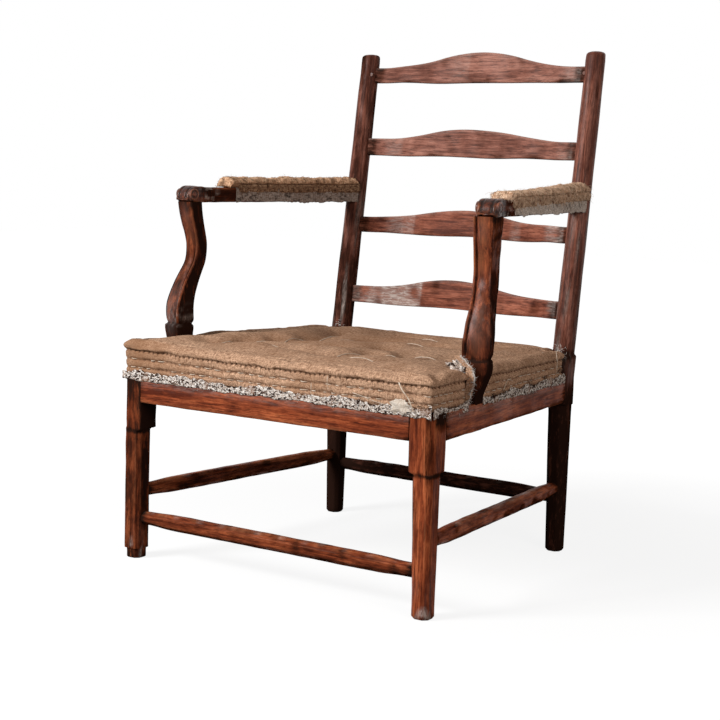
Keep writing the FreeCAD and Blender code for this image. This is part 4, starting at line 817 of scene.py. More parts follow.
STATIONS = np.array([[297, 0, -4, 7.5, 14, 5.9], [340, 0, -5, 7.5, 14, 5.9], [365, 1, -13, 12, 16.5, 7],
                     [392, 2, -20, 17, 18.5, 10], [409, 2, -23, 21, 19.5, 16], [421, 1, -25, 23, 20, 18],
                     [425, 1, -25, 23, 19.5, 19], [428, 0.5, -24.5, 21.2, 16.4, 20],
                     [433, 0, -24.6, 23.4, 18.0, 20], [448, 0.6, -25, 24.9, 19, 20],
                     [465, 1.2, -23.6, 24.4, 18.4, 18], [485, 0.3, -19, 22.6, 17.4, 16],
                     [507, -1.6, -10.5, 19.6, 17.2, 12], [530, -5.2, 0, 17.4, 16.8, 8],
                     [550, -7.9, 8.4, 16.6, 16.2, 4], [568, -9.3, 11.4, 16.4, 16, 2],
                     [584, -9.3, 11.5, 16.6, 16, 1], [602, -7.8, 8.8, 17.0, 16.2, 0],
                     [622, -5.4, 4.5, 17.8, 16.8, 0], [642, -3.4, 1.0, 18.6, 17.4, 0],
                     [663, -2.0, -1.0, 19, 18, 0]])


def flow(at, places, values):
    """A smooth line through the values: cubic pieces whose slopes come from the neighbours."""
    slope = np.gradient(values, places)
    k = np.clip(np.searchsorted(places, at) - 1, 0, len(places) - 2)
    gap = places[k + 1] - places[k]
    t = (at - places[k]) / gap
    rise = t * t * (3 - 2 * t)
    return (values[k] * (1 - rise) + values[k + 1] * rise
            + gap * t * (1 - t) * (slope[k] * (1 - t) - slope[k + 1] * t))


def arm_support(side, sign):
    """An S-curved support: bead, groove with painted shade and broad roll on its front, a neck and a flush
    tongue.
    """
    height = np.concatenate([np.linspace(297, 405, 20), np.linspace(408, 432, 13), np.linspace(436, 663, 54)])
    drop = -6 if sign > 0 else 3
    collar = 427.5 + drop
    places = STATIONS[:, 0] + drop * bell(STATIONS[:, 0], 427, 34)
    lean, shift, wide, deep, twist = [flow(height, places, STATIONS[:, k]) for k in range(1, 6)]
    stout = 1 + ease(height, 490, 560) * 0.06 * sign
    wide, deep = wide * stout, deep * stout
    lower = 1 - ease(height, 344, 405)
    x_mid = sign * ((ARM_X + lean * MM) * (1 - lower) + (side_x(ARM_Y) - 7.5 * MM) * lower)
    middles = np.stack([x_mid, ARM_Y + shift * MM, height * MM], axis=-1)
    turn = np.radians(twist) * sign
    across = np.stack([np.cos(turn), np.sin(turn), 0 * turn], axis=-1)[:, None]
    behind = np.stack([-np.sin(turn), np.cos(turn), 0 * turn], axis=-1)[:, None]
    signs, ways, worn = box_ring(5, 4, 4)
    front = np.linspace(-1, 1, 61)
    body = np.flatnonzero((signs[:, 1] > -1) | (ways[:, 1] > -0.01))
    order = np.arctan2(signs[:, 1] + 0.6 * ways[:, 1], signs[:, 0] + 0.6 * ways[:, 0])
    body = body[np.argsort(np.mod(order[body] + np.pi / 2, 2 * np.pi))]
    arris = 3.5
    moulded = moulded_front(sign * front, wide, deep, height - collar, sign)
    face = np.stack([front[None] * wide[:, None], moulded], axis=-1)
    box = np.stack([signs[body, 0] * (wide[:, None] - arris) + ways[body, 0] * arris,
                    signs[body, 1] * (deep[:, None] - arris) + ways[body, 1] * arris], axis=-1)
    flat = np.concatenate([face, box], axis=1) * MM
    rings = middles[:, None] + flat[..., :1] * across + flat[..., 1:] * behind
    rings = dented(rings, middles, 0.3 * MM, 0.035, 140 + sign)
    count = (len(height), len(body))
    inner = 1 + sign * front
    edge = wide[:, None] * inner
    groove = np.concatenate([bell(edge, 6.9, 1.5), np.zeros(count)], axis=1)
    upper = ease(height, 555, 590)[:, None]
    groove = groove * ease(height, collar, collar + 10)[:, None] * (1 if sign > 0 else 1 - upper)
    # The bead's rim and the front's middle get the worn colour; on the right support more of it toward the
    # top, as painted light on its upper front.
    rubbed_and_lit = bell(edge, 2.6, 1.8) + 0.55 * bell(inner, 1.0, 0.5)
    rubbed_and_lit = rubbed_and_lit * (0.5 + 0.7 * upper * (sign > 0))
    wear = np.concatenate([rubbed_and_lit, 0.4 * np.broadcast_to(worn[body], count)], axis=1)
    lift = np.broadcast_to(height[:, None], rings.shape[:2])
    # Painted shade on the flanks and back, in a dark line at the front's outer arris (stronger above the
    # rail), in the groove and in the collar's cut. Also darker: near the rail top, where the arm joins, just
    # below the collar, toward the bottom, and along streaks.
    flank = np.concatenate([1.6 * bell(inner, 1.95, 0.06), np.ones(len(body))])[None]
    soot_and_shade = 0.95 * groove + 0.85 * bell(lift, collar, 3.0) + 0.5 * bell(lift, 350, 14)
    soot_and_shade = soot_and_shade + 0.5 * ease(lift, 640, 662) + 0.78 * flank * (0.5 + 0.5 * ease(lift, 340, 356))
    soot_and_shade = soot_and_shade + 0.3 * ease(collar - lift, 0, 6) + 0.35 * ease(540 - lift, 0, 90)
    # The left support is darker all over and on its flank below the collar; on the right, less darkening
    # toward the top is painted light.
    soot_and_shade = soot_and_shade + (0.34 if sign < 0 else -0.3 * upper)
    soot_and_shade = soot_and_shade + 0.8 * (sign < 0) * flank * ease(collar + 12 - lift, 0, 20)
    soot_and_shade = soot_and_shade + 0.35 * ease(ripple(rings, 0.03, 145 + sign), 0.4, 1.2)
    dusty, strong = (445, 0.3) if sign < 0 else (500, 0.1)
    chalk = strong * bell(lift, dusty, 18) * ease(ripple(rings, 0.012, 150 + sign), 0.2, 1.0)
    facing = np.concatenate([bell(inner, 1.0, 0.6), np.zeros(len(body))])
    polish = (0.85 * bell(lift, 468, 34) + 0.5 * bell(lift, 640, 20)) * facing
    wood_piece(f"arm_support_{side}", rings, wear, Z, ARM_WOOD, "arm_wood", 141 + sign, chalk, soot_and_shade, polish)


def moulded_front(across, wide, deep, height, sign):
    """The front: a half-round bead 5.8 wide at the inner edge, a groove 3.4 deep, then a broad roll.
    Heights count from the collar. On the left the bead and groove die out at half height."""
    edge = wide[:, None] * (1 + across[None])
    bead = 2.9 - np.sqrt(np.maximum(2.9 ** 2 - (edge - 2.9) ** 2, 0))
    span = (edge - 8.0) / (wide[:, None] - 4.0) - 1
    roll = 2.6 * np.abs(span) ** 2.4 + 2.6 * ease(span, 0.55, 1.0)
    cut = np.where(edge < 5.8, bead, np.where(edge < 8.0, 3.4, roll))
    plain = 3.0 * np.abs(across)[None] ** 8 + 0 * wide[:, None]
    share = ease(height, 0, 12)[:, None]
    if sign < 0:
        share = share * (1 - ease(height, 130, 165))[:, None]
    return -deep[:, None] + cut * share + plain * (1 - share)


for side, sign in SIDES:
    arm(side, sign)
    arm_support(side, sign)


# Seat: stitched edge and tied top

SEAT_ACROSS, SEAT_DEEP = 118, 104
EDGE_BACK = BACK - 3 * MM
NOTCH = (-0.2262, -0.1752)
NOTCH_X = 0.3115
POST_NOTCH = (0.2405, 0.2135)
EDGE_INSET = 0.6 * MM
TOP_FRONT, TOP_BACK = 0.0625, 0.0515


def seat_corners():
    """The seat edge's plan: corners and their rounding, notched around supports and posts."""
    front, back = NOTCH
    post_x, post_y = POST_NOTCH
    right = [(side_x(FRONT) - EDGE_INSET, FRONT + EDGE_INSET, 11), (side_x(front) - EDGE_INSET, front, 7),
             (NOTCH_X, front + 3.5 * MM, 4), (NOTCH_X, back, 4),
             (side_x(back) - EDGE_INSET, back + 0.5 * MM, 7), (side_x(post_y) - EDGE_INSET, post_y, 17),
             (post_x, post_y, 5), (post_x, EDGE_BACK, 12)]
    left = [(-x, y, r) for x, y, r in reversed(right)]
    return right + left


def rounded_outline(corners):
    """A closed line past the corners, each turned by an arc of its radius: its points,
    the lengths along it, and the lengths at each corner's middle."""
    spots = np.array([c[:2] for c in corners])
    line, at = [], []
    for k, (_, _, radius) in enumerate(corners):
        to_last, to_next = unit(spots[k - 1] - spots[k]), unit(spots[(k + 1) % len(spots)] - spots[k])
        half = np.arccos(np.clip(to_last @ to_next, -1, 1)) / 2
        centre = spots[k] + unit(to_last + to_next) * radius * MM / np.sin(half)
        first = spots[k] + to_last * radius * MM / np.tan(half) - centre
        last = spots[k] + to_next * radius * MM / np.tan(half) - centre
        share = np.linspace(0, 1, 9)[:, None]
        arc = unit(first * (1 - share) + last * share) * radius * MM + centre
        at.append(len(line) + 4)
        line += list(arc)
    line = np.array(line + line[:1])
    walked = walked_along(line)
    return line, walked, walked[at]


SEAT_LINE, SEAT_WALK, SEAT_TURNS = rounded_outline(seat_corners())
SEAT_GIRTH = SEAT_WALK[-1]


def on_line(place):
    """Points on the seat's outer edge at lengths along it."""
    return between(np.mod(place, SEAT_GIRTH), SEAT_WALK, SEAT_LINE)


def along_edge(place):
    """Points and outward directions on the seat's outer edge at lengths along it."""
    way = unit(on_line(place + 2.5 * MM) - on_line(place - 2.5 * MM))
    return on_line(place), np.stack([way[..., 1], -way[..., 0]], axis=-1)


def edge_places():
    """Lengths along the edge for the grid's border, so the grid's corners meet the seat's four corners."""
    right_front, right_back, left_back, left_front = SEAT_TURNS[[0, 6, 9, 15]]
    counts = (SEAT_DEEP, SEAT_ACROSS, SEAT_DEEP, SEAT_ACROSS)
    stops = (right_front, right_back, left_back, left_front, right_front + SEAT_GIRTH)
    return np.concatenate([np.linspace(a, b, n, endpoint=False) for a, b, n in zip(stops, stops[1:], counts)])


TIES = np.array([(-0.205, -0.245), (-0.182, -0.19), (-0.15, -0.12), (-0.135, -0.035), (-0.02, 0.045),
                 (0.09, 0.05), (0.175, 0.06), (0.05, -0.235), (0.085, -0.15), (0.14, -0.125), (0.222, -0.13),
                 (-0.16, 0.1), (-0.05, 0.15), (0.06, 0.155), (0.16, 0.15), (-0.06, -0.21), (-0.03, -0.1),
                 (0.04, -0.045), (0.16, -0.235)])
TIE_LINES = ((0, 1, 2, 3, 11), (3, 4, 5, 6), (7, 8, 9, 10), (11, 12, 13, 14), (1, 15, 7, 18, 10),
             (2, 16, 17, 9))
ROWS = (0.25, 0.475, 0.715)


def crest_height(points):
    """How far the rolled edge stands over the rails: higher in front and at the left."""
    forward = np.clip((points[..., 1] - FRONT) / (BACK - FRONT), 0, 1)
    return TOP_FRONT + (TOP_BACK - TOP_FRONT) * forward + 6 * MM * ease(-points[..., 0], 0.05, 0.34)


def tie_pull(spots, width):
    """How strongly the ties and the twine between them draw the cloth down at given spots."""
    pull = np.zeros(spots.shape[:-1])
    for line in TIE_LINES:
        for a, b in zip(line, line[1:]):
            start, stop = TIES[a], TIES[b]
            share = np.clip(((spots - start) @ (stop - start)) / ((stop - start) @ (stop - start)), 0, 1)
            gap = np.linalg.norm(spots - start - share[..., None] * (stop - start), axis=-1)
            sag = 0.45 + 0.55 * (2 * share - 1) ** 2
            pull = np.maximum(pull, sag * np.exp(-(gap / width) ** 1.6))
    return pull


def seat_profile():
    """The edge's section: shares of its height and insets, drawn in at the rows, with a fat roll above."""
    height = np.concatenate([np.linspace(0.07, ROWS[2] + 0.05, 26), np.linspace(ROWS[2] + 0.085, 0.995, 7)])
    inset = 0.6 * MM + 1.6 * MM * ease(0.2 - height, 0, 0.13)
    for row, deep in zip(ROWS, (3.4, 3.6, 4.2)):
        inset = inset + deep * MM * bell(height, row, 0.035)
    inset = inset + 1.2 * MM * ease(ROWS[2] - height, 0, 0.1)
    top = np.clip((height - 0.80) / 0.20, 0, 1)
    inset = inset + 13 * MM * (1 - np.sqrt(1 - np.minimum(top, 0.99) ** 2))
    return height, inset


def edge_gap(spots):
    """How far spots lie inside the seat's outer edge, notches left out: a softened least of three gaps."""
    gaps = np.stack([spots[..., 1] - FRONT - EDGE_INSET, side_x(spots[..., 1]) - np.abs(spots[..., 0]),
                     EDGE_BACK - spots[..., 1]], axis=-1)
    return np.maximum(-7 * MM * np.log(np.exp(-gaps / (7 * MM)).sum(axis=-1)), 0)


def seat_rings(place):
    """Rings of the seat's stitched edge, from the rails up into its roll."""
    edge, out = along_edge(place)
    height, inset = seat_profile()
    spot = np.stack([place, 0 * place], axis=-1)
    crest = crest_height(edge) + 1.1 * MM * ripple(edge, 0.06, 160)
    draw = 1 + 0.35 * ripple(spot, 0.03, 161)
    drawn = inset[:, None] * np.where(height[:, None] < 0.86, draw[None], 1)
    side = edge[None] - out[None] * drawn[..., None]
    level = np.broadcast_to(height[:, None, None] * 0.06, side.shape[:2] + (1,))
    wobble = 1.3 * MM * ripple(np.concatenate([side, level], axis=-1), 0.05, 162)
    wobble = wobble + 2.6 * MM * bell(height, 0.86, 0.1)[:, None] * (1 + ease(-edge[:, 0], 0.28, 0.33))
    side = side + out[None] * (wobble * ease(height, 0.1, 0.3)[:, None])[..., None]
    sway = 0.018 * ripple(spot, 0.09, 163)
    rise = RAIL_TOP + crest[None] * (height[:, None] + sway[None] * bell(height, 0.5, 0.35)[:, None])
    rise = np.maximum(rise, PAD_BOTTOM)
    rise[0] = PAD_BOTTOM
    return np.concatenate([side, rise[..., None]], axis=-1)


def seat_top(border):
    """The top's grid, drawn in rings from its border to one point: its points, their places in
    the border's order, and how far they lie inside the seat's edge."""
    across, deep = np.arange(SEAT_ACROSS + 1), np.arange(SEAT_DEEP + 1)
    s, t = np.meshgrid(2 * across / SEAT_ACROSS - 1, 2 * deep / SEAT_DEEP - 1, indexing="ij")
    ring = np.maximum(np.abs(s), np.abs(t))
    safe = np.maximum(ring, 1e-9)
    a, b = s / safe, t / safe
    right = np.isclose(a, 1)
    far = np.isclose(b, 1) & ~right
    left = np.isclose(a, -1) & ~far
    turns = np.cumsum([0, SEAT_DEEP, SEAT_ACROSS, SEAT_DEEP, SEAT_ACROSS])
    walks = [(b + 1) / 2 * SEAT_DEEP, turns[1] + (1 - a) / 2 * SEAT_ACROSS,
             turns[2] + (1 - b) / 2 * SEAT_DEEP]
    order = np.select([right, far, left], walks, turns[3] + (a + 1) / 2 * SEAT_ACROSS)
    loop = np.concatenate([border, border[:1]])
    step = np.mod(order, turns[4])
    on_edge = between(step, np.arange(turns[4] + 1), loop)
    plain = between(step, turns, loop[turns])
    on_edge = plain + ease(ring, 0.8, 1.0)[..., None] * (on_edge - plain)
    middle = np.array([0.0, -0.1])
    flat = middle + (ring ** 0.9)[..., None] * (on_edge - middle)
    inside = edge_gap(flat)
    rolled = ease(np.linalg.norm(flat - on_edge, axis=-1), 0, 0.014)
    leftward = ease(-flat[..., 0], 0.2, 0.3)
    relief = 9 * MM * ease(inside, 0.03, 0.12) - 3.0 * MM * bell(inside, 0.032, 0.015)
    relief = relief - 5 * MM * leftward * bell(inside, 0.02, 0.008)
    relief = relief + 2 * MM * bell(flat[..., 0], 0.08, 0.14) * ease(flat[..., 1], 0.05, 0.2)
    relief = relief - 18 * MM * tie_pull(flat, 0.030) * ease(inside, 0.015, 0.05)
    relief = relief + 1.8 * MM * ripple(flat, 0.09, 164) * ease(inside, 0.01, 0.05)
    level = RAIL_TOP + crest_height(flat) - 1.0 * MM + relief * rolled
    return np.concatenate([flat, level[..., None]], axis=-1), order, inside


def seat_mesh():
    """The seat's cloth, closed below, with its weave map and marks.
    Returns the piece, how firmly its points are held, and its faces."""
    place = edge_places()
    edge, out = along_edge(place)
    height, _ = seat_profile()
    rings = seat_rings(place)
    top, order, inside = seat_top(rings[-1, :, :2] - out * 2.0 * MM)
    rows, count = rings.shape[:2]
    grid = np.arange((SEAT_ACROSS + 1) * (SEAT_DEEP + 1)).reshape(SEAT_ACROSS + 1, SEAT_DEEP + 1)
    cells = np.stack([grid[:-1, :-1], grid[1:, :-1], grid[1:, 1:], grid[:-1, 1:]], axis=-1).reshape(-1, 4)
    border = np.concatenate([grid[-1, :-1], grid[:0:-1, -1], grid[0, :0:-1], grid[:-1, 0]])
    first = grid.size
    walls = skin_faces(rows, count, first)
    last = first + (rows - 1) * count + np.arange(count)
    lip = np.stack([last, np.roll(last, -1), np.roll(border, -1), border], axis=-1)
    base = first + rows * count
    low = first + np.arange(count)
    floor = np.stack([np.full(count, base), np.roll(low, -1), low], axis=-1)
    points = np.concatenate([top.reshape(-1, 3), rings.reshape(-1, 3), [[0, -0.05, PAD_BOTTOM]]])
    steps = np.linalg.norm(np.diff(rings, axis=0), axis=-1)
    drop = np.concatenate([np.cumsum(steps[::-1], axis=0)[::-1], np.zeros((1, count))])
    unrolled = rings[-1, :, :2][None] + out[None] * drop[..., None]
    weave = np.concatenate([top[..., :2].reshape(-1, 2), unrolled.reshape(-1, 2), [[0, 0]]])
    row_mark = sum(bell(height, row, 0.03) for row in ROWS)
    hole_mark = bell(height, ROWS[2] - 0.012, 0.03) + 0.55 * sum(bell(height, row, 0.022) for row in ROWS[:2])
    edge_mark = np.zeros((len(points), 3))
    walled = slice(first, first + rows * count)
    edge_mark[walled, 0] = np.broadcast_to(place, (rows, count)).ravel()
    edge_mark[walled, 1] = np.repeat(row_mark, count)
    edge_mark[walled, 2] = np.repeat(hole_mark, count)
    edge_mark[:first, 0] = np.interp(order.ravel(), np.arange(count), place)
    flat = top[..., :2]
    soot_and_shade = np.zeros(len(points))
    # Painted shade in the hollows at the ties and twine, and in the crease inside the left part of the rim.
    crease = ease(-flat[..., 0], 0.2, 0.3) * bell(inside, 0.02, 0.005)
    soot_and_shade[:first] = (0.5 * tie_pull(flat, 0.012) * ease(inside, 0.02, 0.05) + 0.8 * crease).ravel()
    # The wall is darker toward its bottom.
    grime_and_shade = 0.55 * ease(0.16 - height, 0, 0.1)[:, None] * np.ones(count)
    soot_and_shade[walled] = grime_and_shade.ravel()
    soil_and_shade = np.zeros(len(points))
    # Painted shade on the top: a broad dark hollow at the rear left of the middle and a wider band around the
    # ties; a ripple adds stains.
    hollow = bell(np.linalg.norm((flat - [-0.06, 0.04]) / [1, 1.3], axis=-1), 0, 0.11)
    soil_and_shade[:first] = (0.55 * tie_pull(flat, 0.035) + 0.55 * hollow + 0.15 * ripple(flat, 0.07, 166)).ravel()
    # On the wall the left front is darker, with stains from a ripple.
    corner = ease(-edge[:, 0], 0.1, 0.3) * (edge[:, 1] < 0)
    soil_and_shade[walled] = np.broadcast_to(0.85 * corner + 0.15 * ripple(edge, 0.05, 167), (rows, count)).ravel()
    marks = {"edge": edge_mark, "soot_and_shade": soot_and_shade, "soil_and_shade": np.clip(soil_and_shade, 0, 1)}
    faces = [cells, walls, lip, floor]
    piece = put_mesh("seat_cover", points, faces, SEAT_HESSIAN, "hessian", ("seat_scrim", "seat_stuffing"),
                     marks)
    add_weave(piece, weave)
    held = np.zeros(len(points))
    held[:first] = (tie_pull(flat, 0.010) ** 2 + bell(inside, 0.0, 0.006)).ravel()
    held[walled] = np.repeat(np.maximum(row_mark, (height < 0.12) * 1.0), count)
    held[base] = 1
    return piece, np.clip(held, 0, 1), faces


def mesh_points(piece):
    """The piece's points as an array."""
    held = np.zeros(3 * len(piece.data.vertices), dtype=np.float32)
    piece.data.vertices.foreach_get("co", held)
    return held.reshape(-1, 3).astype(float)


PUFF_STEPS = 20


def puff_up(piece, held, cap):
    """Cloth under pressure: the sewn points stay, the cloth between them swells by at most the cap."""
    before = mesh_points(piece)
    group = piece.vertex_groups.new(name="sewn")
    for level in np.unique(np.round(held, 1)):
        group.add(np.flatnonzero(np.round(held, 1) == level).tolist(), float(level), "REPLACE")
    cloth = piece.modifiers.new("stuffing", "CLOTH")
    rules = cloth.settings
    rules.quality = 6
    rules.mass = 0.3
    rules.tension_stiffness = 40
    rules.compression_stiffness = 40
    rules.shear_stiffness = 10
    rules.bending_stiffness = 0.4
    rules.vertex_group_mass = "sewn"
    rules.pin_stiffness = 1.0
    rules.use_pressure = True
    rules.uniform_pressure_force = 4.0
    rules.effector_weights.gravity = 0
    cloth.collision_settings.use_collision = False
    cloth.point_cache.frame_start = 1
    cloth.point_cache.frame_end = PUFF_STEPS
    scene = bpy.context.scene
    for step in range(1, PUFF_STEPS + 1):
        scene.frame_set(step)
    moved = piece.evaluated_get(bpy.context.evaluated_depsgraph_get())
    after = np.zeros(before.size, dtype=np.float32)
    moved.data.vertices.foreach_get("co", after)
    piece.modifiers.remove(cloth)
    scene.frame_set(1)
    push = after.reshape(-1, 3) - before
    size = np.linalg.norm(push, axis=1, keepdims=True)
    kept = before + push * np.minimum(1, cap / np.maximum(size, 1e-9))
    piece.data.vertices.foreach_set("co", kept.astype(np.float32).ravel())
    piece.data.update()


SEAT, SEAT_HELD, SEAT_FACES = seat_mesh()
puff_up(SEAT, SEAT_HELD, 4.5 * MM)


SEAT_TREE = BVHTree.FromPolygons(mesh_points(SEAT).tolist(), sum((f.tolist() for f in SEAT_FACES), []))


def laid_on_seat(flat, lift):
    """Points dropped onto the seat's top at flat places, raised by the lift."""
    found = []
    for x, y in flat:
        hit = SEAT_TREE.ray_cast(Vector((x, y, 0.6)), Vector((0, 0, -1)))[0]
        found.append((x, y, hit.z if hit else RAIL_TOP + 0.05))
    return np.array(found) + lift * Z


def tube_rings(path, radius, columns=6):
    """Rings of a thread of given radius at each point along a path."""
    way = unit(np.gradient(path, axis=0))
    level = np.where(np.abs(way[:, 2:]) > 0.9, X, Z)
    across = unit(np.cross(way, level))
    upward = np.cross(across, way)
    turn = np.linspace(0, 2 * np.pi, columns, endpoint=False)
    radius = np.broadcast_to(radius, len(path))[:, None, None]
    return path[:, None] + radius * (np.cos(turn)[None, :, None] * across[:, None]
                                     + np.sin(turn)[None, :, None] * upward[:, None])


def threads(name, paths, radius, material, slot, columns=6):
    """Many closed threads in one piece, each along its own path."""
    skins = [closed_skin(tube_rings(path, radius * np.linspace(1, 0.8, len(path)), columns))
             for path in paths]
    put_mesh(name, *joined(skins), material, slot)


def curls(name, roots, ways, length, bend, radius, material, slot, seed, steps=6):
    """Many loose three-sided fibres, each leaving its root along its way and curling aside."""
    dice = np.random.default_rng(seed)
    count = len(roots)
    way = unit(np.asarray(ways))
    aside = unit(np.cross(way, dice.normal(size=(count, 3))))
    other = np.cross(way, aside)
    share = np.linspace(0, 1, steps)[None, :, None]
    size = (length * dice.uniform(0.4, 1.4, count))[:, None, None]
    lean = dice.uniform(-1, 1, (count, 1, 1)) * bend
    twirl = dice.uniform(-1, 1, (count, 1, 1)) * bend
    path = roots[:, None] + size * (way[:, None] * share + aside[:, None] * lean * share ** 2
                                    + other[:, None] * twirl * np.sin(3.1 * share) * 0.6)
    turn = np.array([0, 2.094, 4.189])
    ring = np.cos(turn)[:, None, None] * aside + np.sin(turn)[:, None, None] * other
    thick = radius * (1 - 0.75 * np.linspace(0, 1, steps))
    points = path[:, :, None] + thick[None, :, None, None] * np.moveaxis(ring, 0, 1)[:, None]
    index = np.arange(count * steps * 3).reshape(count, steps, 3)
    beside = np.roll(index, -1, axis=2)
    quads = np.stack([index[:, :-1], beside[:, :-1], beside[:, 1:], index[:, 1:]], axis=-1).reshape(-1, 4)
    caps = np.concatenate([index[:, 0, ::-1], index[:, -1]])
    put_mesh(name, points.reshape(-1, 3), [quads, caps], material, slot)


def edge_point(place, share, lift):
    """Points on the seat's edge at lengths along it and shares of its height, raised outward by the lift."""
    edge, out = along_edge(np.asarray(place, float))
    height, inset = seat_profile()
    deep = np.interp(share, height, inset)
    spot = edge - out * (deep - lift)[..., None]
    rise = RAIL_TOP + crest_height(edge) * share
    sway = 0.018 * ripple(np.stack([np.mod(place, SEAT_GIRTH), 0 * place], axis=-1), 0.09, 163)
    rise = rise + crest_height(edge) * sway * bell(share, 0.5, 0.35)
    return np.concatenate([spot, rise[..., None]], axis=-1)


def edge_stitches():
    """Dashes of cream twine in the two lower rows: a long stitch shows, then sinks into the cloth."""
    dice = np.random.default_rng(171)
    paths = []
    for row in ROWS[:2]:
        place = 0.0
        while place < SEAT_GIRTH:
            long = dice.uniform(9, 19) * MM
            share = np.linspace(0, 1, 7)
            lift = (-1.0 + 3.6 * np.sin(np.pi * share)) * MM
            drift = dice.uniform(-0.012, 0.012)
            if dice.uniform() < 0.82:
                paths.append(edge_point(place + share * long, row + drift * (share - 0.5) + 0.004, lift))
            place += long + dice.uniform(5, 12) * MM
    threads("edge_stitches", paths, 0.85 * MM, CREAM_TWINE, "hessian", 5)


edge_stitches()


def tie_twine():
    """The stuffing ties' twine: cream lines over the top from tie to tie, bowed between them."""
    paths = []
    for number, line in enumerate(TIE_LINES[:5]):
        for k, (a, b) in enumerate(zip(line, line[1:])):
            share = np.linspace(0.0, 1.0, 13)[:, None]
            run = TIES[a] * (1 - share) + TIES[b] * share
            aside = np.array([-(TIES[b] - TIES[a])[1], (TIES[b] - TIES[a])[0]])
            run = run + aside * 0.10 * np.sin(np.pi * share) * (-1) ** (k + number)
            paths.append(laid_on_seat(run, 0.9 * MM))
    threads("tie_twine", paths, 0.8 * MM, CREAM_TWINE, "hessian", 6)


tie_twine()


# Torn tape, arm pads, canvas


def strip(name, path, up_way, out_way, low, high, thick, material, slot, replaces, seed, torn):
    """A torn strip along a path, with wandering edges, a lumpy face and real thickness."""
    walked = walked_along(path)
    spot = np.stack([walked, 0 * walked], axis=-1)
    top = high + torn * (ripple(spot, 0.05, seed) + 0.5 * ripple(spot, 0.012, seed + 1))
    foot = low + 0.45 * torn * (ripple(spot, 0.04, seed + 2) + 0.6 * ripple(spot, 0.01, seed + 3))
    share = np.linspace(0, 1, 9)[None, :]
    tall = np.maximum(top - foot, 3 * MM)
    rise = foot[:, None] + share * tall[:, None]
    face = path[:, None] + rise[..., None] * up_way
    lump = 0.3 * MM * ripple(face, 0.016, seed + 4) + 0.2 * MM * ripple(face, 0.007, seed + 5)
    front = face + out_way * (thick / 2 + lump)[..., None]
    back = face - out_way * (thick / 2 - lump)[..., None]
    flat = np.stack([np.broadcast_to(walked[:, None], rise.shape), rise], axis=-1)
    piece = cloth_piece(name, folded(front, back), folded(flat, flat), True, material, slot, replaces,
                        ends=((0, 0), (walked[-1], 0)))
    return piece, face, walked[-1], float(walked[-1] * tall.mean())


def tape_run(name, start, stop, seed, high, replaces=()):
    """Tape along a rail's upper edge from start to stop, over the seat's lowest stitching."""
    share = np.linspace(0, 1, 260)[:, None]
    path = np.array(start) * (1 - share) + np.array(stop) * share
    along = unit(np.array(stop) - np.array(start))
    out = np.cross(along, Z)
    path = path + out * 0.5 * MM
    piece, face, length, area = strip(name, path, Z, out, -6 * MM, high, 0.9 * MM, TORN_TAPE, "tape",
                                      replaces, seed, 3.0 * MM)
    dice = np.random.default_rng(seed)
    count = int(170 * length)
    pick = dice.integers(0, face.shape[0], count), dice.integers(0, face.shape[1], count)
    roots = face[pick] + out * 0.8 * MM
    ways = along * dice.normal(0, 1.2, (count, 1)) + Z * dice.normal(-0.1, 0.8, (count, 1)) + out * 0.35
    curls(f"{name}_fray", roots, ways, 6 * MM, 0.8, 0.28 * MM, WHITE_FIBRE, "tape", seed + 1, 5)


def rail_spot(sign, y):
    """A point on a side rail's outer face at its top."""
    return (sign * side_x(y), y, RAIL_TOP)


TAPE_END = 0.3385
BEFORE_SUPPORT, BEHIND_SUPPORT, BEFORE_POST = -0.222, -0.165, 0.214
CORNER = FRONT + 3 * MM
tape_run("front_tape", (-TAPE_END, FRONT, RAIL_TOP), (TAPE_END, FRONT, RAIL_TOP), 181, 9.5 * MM,
         ("edge_tape",))
tape_run("side_tape_right", rail_spot(1, BEHIND_SUPPORT), rail_spot(1, BEFORE_POST), 182, 7.5 * MM)
tape_run("side_tape_left", rail_spot(-1, BEFORE_POST), rail_spot(-1, BEHIND_SUPPORT), 183, 7 * MM)
tape_run("corner_tape_right", rail_spot(1, CORNER), rail_spot(1, BEFORE_SUPPORT), 184, 5 * MM)
tape_run("corner_tape_left", rail_spot(-1, BEFORE_SUPPORT), rail_spot(-1, CORNER), 185, 6 * MM)


def pad_section(pinch):
    """Half of an arm pad's section over the arm's top: a crown, a pinched groove, a lower roll."""
    shape = np.array([(0, 19), (7, 18.8), (13, 17.6), (18, 15.2), (21.2, 12), (21.8, 9.5), (20.6, 7.6),
                      (18.4, 6.6), (20.4, 5.4), (22.0, 3.2), (22.2, 0.4), (21.4, -2.6), (20.2, -4.6),
                      (18.9, -5.4)])
    shape[5:10, 0] += (1 - pinch) * np.array([0.2, 1.4, 3.6, 1.6, 0])
    places = np.arange(len(shape))
    return between(np.linspace(0, places[-1], 46), places, shape) * MM


PAD_REACH = {-1: (88 * MM, ARM_LENGTH - 8 * MM), 1: (54 * MM, ARM_LENGTH + 11 * MM)}


